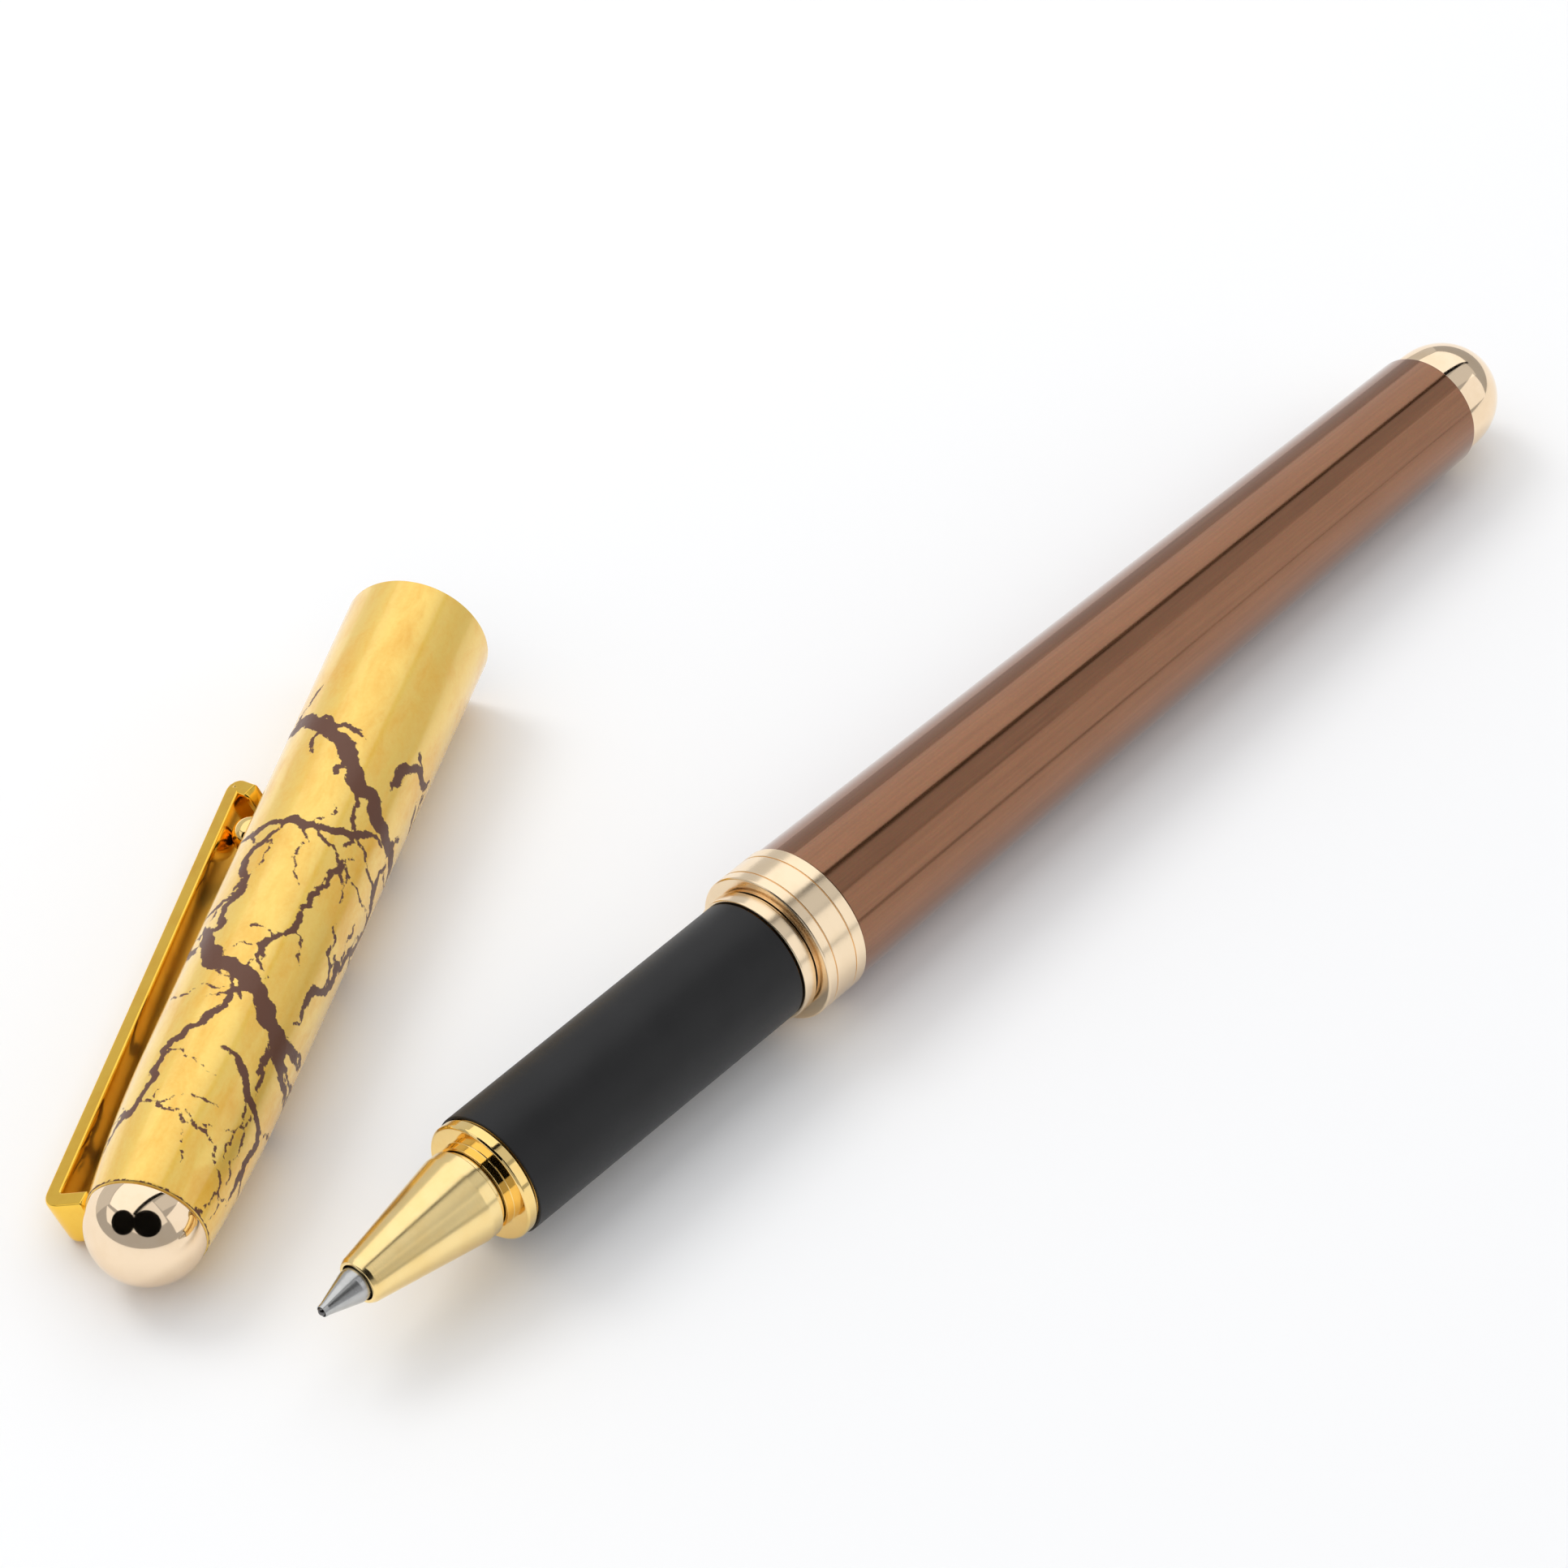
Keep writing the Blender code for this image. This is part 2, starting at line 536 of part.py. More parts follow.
def build_barrel(pen, materials):
    """The grooved centre ring, the lacquered tube, its thread bush and its domed tail."""
    bush_bore = THREAD_RADIUS + SLIDE_GAP
    bush_radius = barrel_radius(BUSH_END) - BARREL_WALL - SEAT_GAP
    bush_room = bush_radius + SEAT_GAP
    first_groove = RING_START + RING_FRONT_BAND
    second_groove = first_groove + RING_MIDDLE_BAND
    grooves = []
    for place in (first_groove, second_groove):
        grooves += [
            (place - RING_GROOVE / 2, RING_RADIUS),
            (place, RING_RADIUS - RING_GROOVE),
            (place + RING_GROOVE / 2, RING_RADIUS),
        ]
    turned("centre_ring", [
        (RING_START, RING_RADIUS - RING_ROUND),
        (RING_START + RING_ROUND, RING_RADIUS),
        *grooves,
        (RING_END, RING_RADIUS),
        (RING_END, bush_room),
        (RING_START + RING_LIP_LENGTH, bush_room),
        (RING_START + RING_LIP_LENGTH, RING_BORE),
        (RING_START + RING_RECESS_DEPTH, RING_BORE),
        (RING_START + RING_RECESS_DEPTH, COLLAR_RADIUS + SEAT_GAP),
        (RING_START, COLLAR_RADIUS + SEAT_GAP),
    ], materials["champagne_gold"], pen)

    turned("barrel_thread_bush", [
        (BUSH_START, bush_radius),
        (BUSH_END, bush_radius),
        (BUSH_END, bush_bore),
        (BUSH_START, bush_bore),
    ], materials["brass"], pen, INNER_SIDES)

    turned("barrel_tube", [
        (BARREL_START, BARREL_FRONT_RADIUS),
        (BARREL_END, BARREL_REAR_RADIUS),
        (BARREL_END, BARREL_REAR_RADIUS - BARREL_WALL),
        (BARREL_START, BARREL_FRONT_RADIUS - BARREL_WALL),
    ], materials["brown_lacquer"], pen)

    plug_radius = BARREL_REAR_RADIUS - BARREL_WALL - SEAT_GAP
    stud_bore = TAIL_STUD_RADIUS + SEAT_GAP
    seat_radius = spring_radius() + SPRING_WIRE + SLIDE_GAP
    seat_floor = TAIL_PLUG_START + SPRING_SEAT_DEPTH
    turned("tail_plug", [
        (TAIL_PLUG_START, plug_radius),
        (TAIL_PLUG_END, plug_radius),
        (TAIL_PLUG_END, stud_bore),
        (seat_floor, stud_bore),
        (seat_floor, seat_radius),
        (TAIL_PLUG_START, seat_radius),
    ], materials["brass"], pen, INNER_SIDES)

    dome_radius = BARREL_REAR_RADIUS - TAIL_DOME_STEP
    dome_base = TAIL_START + TAIL_DOME_LAND
    dome = arc((dome_base, 0.0), (TAIL_DOME_RISE, dome_radius), 90, 0, 10)[:-1]
    turned("tail_dome", [
        (TAIL_START - TAIL_STUD_LENGTH, 0.0),
        (TAIL_START - TAIL_STUD_LENGTH, TAIL_STUD_RADIUS),
        (TAIL_START, TAIL_STUD_RADIUS),
        (TAIL_START, dome_radius),
        *dome,
        (dome_base + TAIL_DOME_RISE, 0.0),
    ], materials["champagne_gold"], pen)

    build_spring(pen, materials)


def spring_radius():
    """The spring's coil radius, which keeps its wire within the refill's end."""
    return REFILL_RADIUS - SPRING_WIRE - SEAT_GAP


def build_spring(pen, materials):
    """A coil of round wire between the refill's end and the tail plug."""
    points_per_turn = 12
    count = SPRING_TURNS * points_per_turn
    run = SPRING_LENGTH - 2 * SPRING_WIRE
    curve = bpy.data.curves.new("refill_spring", "CURVE")
    curve.dimensions = "3D"
    curve.bevel_depth = SPRING_WIRE
    curve.bevel_resolution = 1
    curve.use_fill_caps = True
    spline = curve.splines.new("POLY")
    spline.points.add(count)
    for i, point in enumerate(spline.points):
        angle = 2 * math.pi * i / points_per_turn
        along = SPRING_START + SPRING_WIRE + run * i / count
        radius = spring_radius()
        point.co = (along, radius * math.cos(angle), radius * math.sin(angle), 1.0)
    curve.materials.append(materials["stainless_steel"])
    obj = bpy.data.objects.new("refill_spring", curve)
    obj.parent = pen
    bpy.context.collection.objects.link(obj)


def build_cap(cap, materials):
    """The cap's tube, inner cap, snap sleeve and finial with its stud and bush."""
    bends = [CAP_END_LENGTH * i / CAP_END_STEPS for i in range(1, CAP_END_STEPS + 1)]
    boss_bore = FINIAL_BOSS_RADIUS + SEAT_GAP
    tube = turned("cap_tube", [
        *((s, cap_radius(s)) for s in [0.0, *bends, CAP_LENGTH]),
        *((s, cap_radius(s) - CAP_WALL) for s in [CAP_LENGTH, *reversed(bends), CAP_LIP_THICKNESS]),
        (CAP_LIP_THICKNESS, boss_bore),
        (0.0, boss_bore),
    ], materials["gold_leaf"], cap)

    bush_start = CAP_LIP_THICKNESS + SEAT_GAP
    bush_end = bush_start + END_BUSH_LENGTH
    stud_bore = STUD_RADIUS + SEAT_GAP
    bush = turned("cap_end_bush", [
        (bush_start + FINIAL_BOSS_LENGTH, cap_radius(bush_start) - CAP_WALL - SEAT_GAP),
        (bush_end, cap_radius(bush_end - FINIAL_BOSS_LENGTH) - CAP_WALL - SEAT_GAP),
        (bush_end, stud_bore),
        (bush_start + FINIAL_BOSS_LENGTH, stud_bore),
    ], materials["brass"], cap, INNER_SIDES)

    base = -SEAT_GAP
    dome = arc((base, 0.0), (FINIAL_RISE, FINIAL_RADIUS), 180, 90, 12)[1:]
    boss_end = FINIAL_BOSS_LENGTH
    turned("finial_dome", [
        (base - FINIAL_RISE, 0.0),
        *dome,
        (base, FINIAL_BOSS_RADIUS),
        (boss_end, FINIAL_BOSS_RADIUS),
        (boss_end, stud_bore),
        (-FINIAL_HOLE_DEPTH, stud_bore),
        (-FINIAL_HOLE_DEPTH, 0.0),
    ], materials["champagne_gold"], cap)

    stud_start = -FINIAL_HOLE_DEPTH + SEAT_GAP
    turned("finial_stud", [
        (stud_start, 0.0),
        (stud_start, STUD_RADIUS),
        (stud_start + STUD_LENGTH, STUD_RADIUS),
        (stud_start + STUD_LENGTH, 0.0),
    ], materials["stainless_steel"], cap, BALL_SIDES)

    liner_end = CAP_END_ROOM + LAND_END
    liner_bore = NOSE_LARGE_RADIUS + LINER_BORE_CLEARANCE
    turned("inner_cap", [
        (LINER_START, 0.0),
        (LINER_START, cap_radius(LINER_START) - CAP_WALL - SEAT_GAP),
        (liner_end, cap_radius(liner_end) - CAP_WALL - SEAT_GAP),
        (liner_end, liner_bore),
        (LINER_START + LINER_FLOOR, liner_bore),
        (LINER_START + LINER_FLOOR, 0.0),
    ], materials["black_plastic"], cap, INNER_SIDES)

    sleeve_end = CAP_LENGTH - SNAP_SLEEVE_INSET
    sleeve_start = sleeve_end - SNAP_SLEEVE_LENGTH
    sleeve_bore = GRIP_REAR_RADIUS + SNAP_SLEEVE_CLEARANCE
    turned("cap_snap_sleeve", [
        (sleeve_start, cap_radius(sleeve_start) - CAP_WALL - SEAT_GAP),
        (sleeve_end, cap_radius(sleeve_end) - CAP_WALL - SEAT_GAP),
        (sleeve_end, sleeve_bore),
        (sleeve_start, sleeve_bore),
    ], materials["black_plastic"], cap)
    return tube, bush


def clip_outline():
    """The bent strip's side view, as (along the cap, out from its axis) points.

    The back runs straight from the root to the free end, where the strip turns in towards
    the tube and back towards the root. At the root it turns in and stands on the tube.
    """
    back_start = cap_radius(0.0) + CLIP_ROOT_HEIGHT
    back_end = cap_radius(CLIP_LENGTH) + CLIP_END_HEIGHT
    slope = (back_end - back_start) / CLIP_LENGTH
    root_inside = CLIP_ROOT_START + CLIP_ROOT_THICKNESS
    root_foot = cap_radius(CLIP_ROOT_START) + CLIP_STANDOFF
    inside_foot = cap_radius(root_inside) + CLIP_STANDOFF

    def back(s):
        return back_start + slope * s

    end_centre = CLIP_LENGTH - CLIP_END_ROUND
    lip_top = back(end_centre) - CLIP_END_ROUND
    lip_foot = lip_top - CLIP_LIP_DROP
    lip_inside = CLIP_LENGTH - CLIP_LIP_LEAN - CLIP_LIP_THICKNESS
    strip_inside = back(lip_inside) - CLIP_THICKNESS
    return [
        (CLIP_ROOT_START - CLIP_ROUND, root_foot),
        (CLIP_ROOT_START, back(0.0) - CLIP_ROOT_ROUND),
        (CLIP_ROOT_START + CLIP_ROUND, back(0.0) - CLIP_ROUND),
        (CLIP_ROOT_START + CLIP_ROOT_ROUND, back(CLIP_ROOT_START)),
        *arc((end_centre, lip_top), (CLIP_END_ROUND, CLIP_END_ROUND), 90, 0, 4),
        (CLIP_LENGTH - CLIP_LIP_LEAN, lip_foot),
        (lip_inside, lip_foot),
        (lip_inside, strip_inside - CLIP_INNER_BEND),
        (lip_inside - CLIP_INNER_BEND, strip_inside),
        (root_inside + CLIP_ROUND, back(root_inside) - CLIP_THICKNESS),
        (root_inside, back(root_inside) - CLIP_THICKNESS - CLIP_ROUND),
        (root_inside, inside_foot),
    ]


def build_clip(cap, materials, tube, bush):
    """The clip with its tang in the tube's slot, and the bead that grips the pocket."""
    tang_start = CLIP_ROOT_START + CLIP_ROUND
    tang_end = tang_start + TANG_LENGTH
    pivot_height = cap_radius(tang_start)
    pivot = ((tang_start + tang_end) / 2, 0.0, pivot_height)
    axis = empty("clip_axis", cap, pivot)
    back_to_cap = (-pivot[0], -pivot[1], -pivot[2])

    outline = clip_outline()
    narrowing = (CLIP_ROOT_WIDTH - CLIP_END_WIDTH) / CLIP_LENGTH
    widths = [CLIP_ROOT_WIDTH - narrowing * max(s, 0.0) for s, _ in outline]
    clip = extruded("clip", outline, widths, materials["yellow_gold"], axis, back_to_cap)

    foot = cap_radius(tang_start) + CLIP_STANDOFF
    tang_low = cap_radius(tang_start) - CAP_WALL - TANG_DEPTH
    tang = block(
        "clip_tang_shape",
        (tang_start, -TANG_WIDTH / 2, tang_low),
        (tang_end, TANG_WIDTH / 2, foot + CLIP_THICKNESS / 2),
        axis, back_to_cap,
    )
    boolean(clip, tang, "UNION")
    slot = block(
        "clip_slot_shape",
        (tang_start - TANG_PLAY, -TANG_WIDTH / 2 - TANG_PLAY, tang_low - TANG_PLAY),
        (tang_end + TANG_PLAY, TANG_WIDTH / 2 + TANG_PLAY, foot + CLIP_THICKNESS),
        cap,
    )
    boolean(tube, slot, "DIFFERENCE")
    boolean(bush, slot, "DIFFERENCE")

    back_height = cap_radius(0.0) + CLIP_ROOT_HEIGHT + (
        cap_radius(CLIP_LENGTH) + CLIP_END_HEIGHT - cap_radius(0.0) - CLIP_ROOT_HEIGHT
    ) * BEAD_PLACE / CLIP_LENGTH
    inside = back_height - CLIP_THICKNESS
    tube_top = cap_radius(BEAD_PLACE)
    bead_radius = (inside - tube_top) / 2 - BEAD_GAP
    bead = bmesh.new()
    bmesh.ops.create_uvsphere(
        bead, u_segments=BALL_SIDES, v_segments=BALL_SIDES // 2, radius=bead_radius
    )
    object_from(
        "clip_bead", bead, materials["yellow_gold"], axis,
        (BEAD_PLACE - pivot[0], 0.0, (inside + tube_top) / 2 - pivot[2]),
    )


def pose_pen(pen):
    """Lay the pen on its centre ring and on the rear edge of its barrel."""
    drop = math.atan2(RING_RADIUS - BARREL_REAR_RADIUS, BARREL_END - RING_END)
    pen.rotation_euler = (0.0, drop, 0.0)
    pen.location = (0.0, 0.0, RING_RADIUS / math.cos(drop) + RING_END * math.sin(drop))


def pose_cap(cap):
    """Lay the cap on its tube, turned until the clip's free end meets the floor."""
    lift = math.asin(CAP_TAPER / CAP_LENGTH)
    # The clip is drawn on the cap's +Z side, and rolling about X carries it down to -Y.
    roll = math.pi / 2 + CLIP_DIP
    heading = Matrix.Rotation(CAP_HEADING, 4, "Z")
    cap.matrix_local = (
        Matrix.Translation(CAP_PLACE + Vector((0.0, 0.0, CAP_END_RADIUS)))
        @ heading
        @ Matrix.Rotation(-lift, 4, "Y")
        @ Matrix.Rotation(-roll, 4, "X")
    )


def centre_on_origin(roots):
    """Move the assemblies so that the footprint's middle is the origin and the floor is Z = 0."""
    bpy.context.view_layer.update()
    graph = bpy.context.evaluated_depsgraph_get()
    low = Vector((math.inf,) * 3)
    high = Vector((-math.inf,) * 3)
    for obj in bpy.data.objects:
        if obj.type not in ("MESH", "CURVE") or obj.hide_render:
            continue
        evaluated = obj.evaluated_get(graph)
        mesh = evaluated.to_mesh()
        for vert in mesh.vertices:
            point = evaluated.matrix_world @ vert.co
            low = Vector(map(min, low, point))
            high = Vector(map(max, high, point))
        evaluated.to_mesh_clear()
    shift = Vector(((low.x + high.x) / 2, (low.y + high.y) / 2, low.z))
    for root in roots:
        root.location -= shift


def main():
    clear_scene()
    materials = make_materials()
    pen = empty("pen_axis")
    cap = empty("cap_axis")
    build_refill(pen, materials)
    build_nose(pen, materials)
    build_section(pen, materials)
    build_barrel(pen, materials)
    tube, bush = build_cap(cap, materials)
    build_clip(cap, materials, tube, bush)
    pose_pen(pen)
    pose_cap(cap)
    centre_on_origin([pen, cap])


main()
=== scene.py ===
"""Looks of a rollerball pen with its cap off.

The barrel is lacquered, the grip soft-touch, the fittings plated and the cap leafed.

Lengths are in metres unless a name ends in _mm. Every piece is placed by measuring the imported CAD
nodes along the pen's and the cap's own axes, so the looks keep the CAD's sizes.
"""

import json
import logging
import math
from collections.abc import Callable
from dataclasses import dataclass
from enum import Enum

import bpy
import numpy as np
from mathutils import Matrix, Vector

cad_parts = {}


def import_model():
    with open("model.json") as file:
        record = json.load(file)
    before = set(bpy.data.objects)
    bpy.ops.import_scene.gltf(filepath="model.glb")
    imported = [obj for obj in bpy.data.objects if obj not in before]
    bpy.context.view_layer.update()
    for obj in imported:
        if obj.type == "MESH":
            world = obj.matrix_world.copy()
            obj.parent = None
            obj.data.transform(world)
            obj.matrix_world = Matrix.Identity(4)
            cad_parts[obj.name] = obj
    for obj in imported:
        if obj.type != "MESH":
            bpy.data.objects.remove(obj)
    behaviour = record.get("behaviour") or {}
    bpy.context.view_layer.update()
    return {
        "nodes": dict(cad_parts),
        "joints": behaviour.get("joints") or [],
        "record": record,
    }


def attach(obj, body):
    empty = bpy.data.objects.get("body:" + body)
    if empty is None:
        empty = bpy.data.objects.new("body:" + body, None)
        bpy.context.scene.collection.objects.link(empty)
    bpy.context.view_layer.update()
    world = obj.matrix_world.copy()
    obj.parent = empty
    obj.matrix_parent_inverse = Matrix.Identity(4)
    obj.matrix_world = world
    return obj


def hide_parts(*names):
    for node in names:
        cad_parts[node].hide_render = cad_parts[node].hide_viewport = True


MM = 0.001
TURN = 2.0 * math.pi
WORLD_UP = np.array([0.0, 0.0, 1.0])
LOG = logging.getLogger("pen")


def unit(vector: np.ndarray) -> np.ndarray:
    """The vector at length one."""
    return np.asarray(vector, float) / np.linalg.norm(vector)


def corners_of(node: bpy.types.Object) -> np.ndarray:
    """A CAD node's vertices, one row for each."""
    points = np.empty(len(node.data.vertices) * 3, np.float32)
    node.data.vertices.foreach_get("co", points)
    return points.reshape(-1, 3).astype(float)


def middle_of(points: np.ndarray) -> np.ndarray:
    """The middle of the box round some points."""
    return (points.min(axis=0) + points.max(axis=0)) / 2


def linear(hex_colour: str) -> tuple[float, float, float, float]:
    """Turn an sRGB hex colour into linear light.

    Each channel c becomes c / 12.92 below 0.04045, and ((c + 0.055) / 1.055) ** 2.4 above it.

    Args:
        hex_colour: Six hex digits, with or without a leading #.

    Returns:
        Red, green, blue and alpha, each from 0 to 1.
    """
    digits = hex_colour.lstrip("#")
    channels = np.array([int(digits[i : i + 2], 16) for i in (0, 2, 4)]) / 255.0
    low = channels / 12.92
    high = ((channels + 0.055) / 1.055) ** 2.4
    return (*np.where(channels <= 0.04045, low, high).tolist(), 1.0)


# ---------------------------------------------------------------------------------------------
# Measuring the frame
# ---------------------------------------------------------------------------------------------


@dataclass(frozen=True)
class Extent:
    """How far a turned CAD node reaches along and out from its axis, in metres."""

    start: float
    end: float
    bore: float
    radius: float
    start_radius: float
    end_radius: float

    @property
    def length(self) -> float:
        """The node's length along the axis."""
        return self.end - self.start


@dataclass(frozen=True)
class TurningAxis:
    """A centre line with two directions square to it; angles run from up towards side."""

    origin: np.ndarray
    along: np.ndarray
    side: np.ndarray
    up: np.ndarray

    @classmethod
    def through(cls, point: np.ndarray, direction: np.ndarray) -> "TurningAxis":
        """Make an axis from a point on it and its direction.

        Args:
            point: Any point on the axis.
            direction: The way that stations grow.

        Returns:
            The axis, with its up direction as near the world's as it can be.
        """
        along = unit(direction)
        side = unit(np.cross(WORLD_UP, along))
        return cls(np.asarray(point, float), along, side, np.cross(along, side))

    def moved(self, distance: float) -> "TurningAxis":
        """The same axis with its origin moved along it."""
        return TurningAxis(self.origin + self.along * distance, self.along, self.side, self.up)

    def stations(self, points: np.ndarray) -> tuple[np.ndarray, np.ndarray]:
        """Split points into their stations along the axis and their radii out from it."""
        away = points - self.origin
        station = away @ self.along
        radius = np.linalg.norm(away - station[:, None] * self.along, axis=1)
        return station, radius

    def centred(self, points: np.ndarray) -> "TurningAxis":
        """The same axis moved sideways to the middle of the points' reach, both ways across."""
        away = points - self.origin
        shift = sum(
            (np.max(away @ across) + np.min(away @ across)) / 2 * across
            for across in (self.side, self.up)
        )
        return TurningAxis(self.origin + shift, self.along, self.side, self.up)

    def extent(self, node: bpy.types.Object) -> Extent:
        """Measure a turned CAD node.

        Args:
            node: One of the frame's nodes.

        Returns:
            Its reach along the axis, its bore, its largest radius, and its radius at each end.
        """
        station, radius = self.stations(corners_of(node))
        reach = 0.05 * MM
        first = radius[station < station.min() + reach]
        last = radius[station > station.max() - reach]
        return Extent(
            float(station.min()), float(station.max()), float(radius.min()), float(radius.max()),
            float(first.max()), float(last.max()),
        )

    def place(self, station: np.ndarray, radius: np.ndarray, angle: np.ndarray) -> np.ndarray:
        """Points in the frame.

        A point is origin + station * along + radius * (cos angle * up + sin angle * side).
        """
        return (
            self.origin
            + station[..., None] * self.along
            + (radius * np.cos(angle))[..., None] * self.up
            + (radius * np.sin(angle))[..., None] * self.side
        )

    def coordinates(self, tree: bpy.types.NodeTree) -> bpy.types.NodeSocket:
        """Object coordinates turned to the axis and scaled to millimetres.

        A point p becomes R (1000 p) - R (1000 origin), with R's rows along, side and up.

        Args:
            tree: The material's node tree.

        Returns:
            The socket that gives (along, side, up) in millimetres.
        """
        rows = Matrix([self.along.tolist(), self.side.tolist(), self.up.tolist()])
        centre = rows @ (Vector(self.origin) / MM)
        found = add(tree, "ShaderNodeTexCoord")
        turned = add(
            tree, "ShaderNodeMapping",
            {"Vector": found.outputs["Object"], "Location": -centre,
             "Rotation": rows.to_euler("XYZ"), "Scale": (1 / MM,) * 3},
        )
        return turned.outputs["Vector"]


# ---------------------------------------------------------------------------------------------
# Meshes
# ---------------------------------------------------------------------------------------------


def soften(corners: list[tuple[float, float]], radius: float, steps: int = 5,
           closed: bool = True) -> np.ndarray:
    """Round the corners of an outline.

    Each corner P between A and B becomes the curve
    (1 - t)^2 P_a + 2 t (1 - t) P + t^2 P_b, where P_a and P_b lie on PA and PB at the rounding
    radius, or less where an edge is short. One more point just outside each end of the curve
    keeps the flat stretches flat when the surface is shaded smooth.

    Args:
        corners: The outline's corners in order.
        radius: The rounding's size.
        steps: Stretches in each rounding.
        closed: Whether the last corner joins the first. An open outline keeps its two ends.

    Returns:
        The rounded outline, one row for each point.
    """
    points = np.asarray(corners, float)
    before = np.roll(points, 1, axis=0) - points
    after = np.roll(points, -1, axis=0) - points
    room_before = np.linalg.norm(before, axis=1, keepdims=True)
    room_after = np.linalg.norm(after, axis=1, keepdims=True)
    reach = np.minimum(radius, np.minimum(room_before, room_after) / 3.2)
    start = points + before / room_before * reach
    end = points + after / room_after * reach
    t = np.linspace(0.0, 1.0, steps + 1)[None, :, None]
    curve = (1 - t) ** 2 * start[:, None] + 2 * t * (1 - t) * points[:, None] + t**2 * end[:, None]
    lead_in = points + before / room_before * reach * 1.4
    lead_out = points + after / room_after * reach * 1.4
    rounded = np.concatenate([lead_in[:, None], curve, lead_out[:, None]], axis=1)
    if closed:
        return rounded.reshape(-1, 2)
    return np.concatenate([points[:1], rounded[1:-1].reshape(-1, 2), points[-1:]])


def quarter_arc(centre: tuple[float, float], radii: tuple[float, float], start_deg: float,
                end_deg: float, steps: int) -> np.ndarray:
    """Points centre + (rx cos a, ry sin a) for evenly spaced angles a."""
    angle = np.radians(np.linspace(start_deg, end_deg, steps + 1))
    return np.stack([centre[0] + radii[0] * np.cos(angle), centre[1] + radii[1] * np.sin(angle)], 1)


def mesh_object(name: str, points: np.ndarray, faces: list[np.ndarray], uv: np.ndarray | None,
                body: str) -> bpy.types.Object:
    """Make a smooth-shaded object whose place is in its mesh.

    Args:
        name: The piece's name.
        points: One row for each vertex.
        faces: Arrays of vertex numbers, one array for quads and one for triangles.
        uv: One row for each face corner, in the faces' order, or None.
        body: The CAD body that the piece moves with.

    Returns:
        The linked object, riding on its body.
    """
    mesh = bpy.data.meshes.new(name)
    loops = np.concatenate([f.reshape(-1) for f in faces]).astype(np.int32)
    sizes = np.concatenate([np.full(len(f), f.shape[1]) for f in faces])
    starts = (np.cumsum(sizes) - sizes).astype(np.int32)
    mesh.vertices.add(len(points))
    mesh.vertices.foreach_set("co", points.astype(np.float32).reshape(-1))
    mesh.loops.add(len(loops))
    mesh.loops.foreach_set("vertex_index", loops)
    mesh.polygons.add(len(sizes))
    mesh.polygons.foreach_set("loop_start", starts)
    mesh.update(calc_edges=True)
    if uv is not None:
        layer = mesh.uv_layers.new(name="turned")
        layer.data.foreach_set("uv", uv.astype(np.float32).reshape(-1))
    mesh.validate()
    mesh.shade_smooth()
    obj = bpy.data.objects.new(name, mesh)
    bpy.context.scene.collection.objects.link(obj)
    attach(obj, body)
    return obj


def grid_faces(rows: int, columns: int, closed_rows: bool) -> np.ndarray:
    """Quads of a grid whose columns wrap round, and whose rows may wrap too."""
    row = np.arange(rows if closed_rows else rows - 1)[:, None]
    column = np.arange(columns)[None, :]
    next_row = (row + 1) % rows
    next_column = (column + 1) % columns
    corners = (
        row * columns + column, next_row * columns + column,
        next_row * columns + next_column, row * columns + next_column,
    )
    return np.stack([np.broadcast_to(c, (len(row), columns)) for c in corners], -1).reshape(-1, 4)


def lathe(name: str, axis: TurningAxis, outline: np.ndarray, body: str,
          sides: int = 192, solid: bool = False,
          shape: Callable[[np.ndarray, np.ndarray, np.ndarray], np.ndarray] | None = None,
          ) -> bpy.types.Object:
    """Turn an outline about an axis.

    The surface is P(u, v) = place(station(u), radius(u), v). The outline goes round clockwise as
    station runs right and radius up, so that the faces point outwards.

    Args:
        name: The piece's name.
        axis: The centre line.
        outline: Rows of (station, radius).
        body: The CAD body that the piece moves with.
        sides: Faces round the axis.
        solid: Whether the outline starts and ends on the axis, where a fan closes it.
        shape: Gives an amount to add to the radius, from grids of station, radius and angle.

    Returns:
        The piece.
    """
    angle = np.arange(sides) * TURN / sides
    inner = outline[1:-1] if solid else outline
    station = np.repeat(inner[:, :1], sides, axis=1)
    radius = np.repeat(inner[:, 1:], sides, axis=1)
    turn = np.repeat(angle[None], len(inner), axis=0)
    if shape is not None:
        radius = radius + shape(station, radius, turn)
    points = axis.place(station, radius, turn).reshape(-1, 3)
    quads = grid_faces(len(inner), sides, closed_rows=not solid)
    run = np.concatenate([[0.0], np.cumsum(np.linalg.norm(np.diff(inner, axis=0), axis=1))])
    lap = run[-1] + float(np.linalg.norm(inner[0] - inner[-1]))
    row, column = np.divmod(quads, sides)
    across = column / sides
    across[:, 2:] = np.where(column[:, 2:] == 0, 1.0, across[:, 2:])
    down = run[row]
    down[:, 1:3] = np.where(row[:, 1:3] == 0, lap, down[:, 1:3])
    uv = [np.stack([across, down / max(lap, MM)], -1).reshape(-1, 2)]
    faces = [quads]
    if solid:
        ring = np.arange(sides)
        following = (ring + 1) % sides
        first, last = len(points), len(points) + 1
        offset = (len(inner) - 1) * sides
        tips = axis.place(outline[[0, -1], 0], np.zeros(2), np.zeros(2))
        points = np.concatenate([points, tips])
        faces.append(np.concatenate([
            np.stack([np.full(sides, first), ring, following], -1),
            np.stack([np.full(sides, last), offset + following, offset + ring], -1),
        ]))
        fan = np.stack([ring / sides, np.zeros(sides)], -1)
        uv.append(np.repeat(np.concatenate([fan, fan + [0.0, 1.0]]), 3, axis=0))
    return mesh_object(name, points, faces, np.concatenate(uv), body)


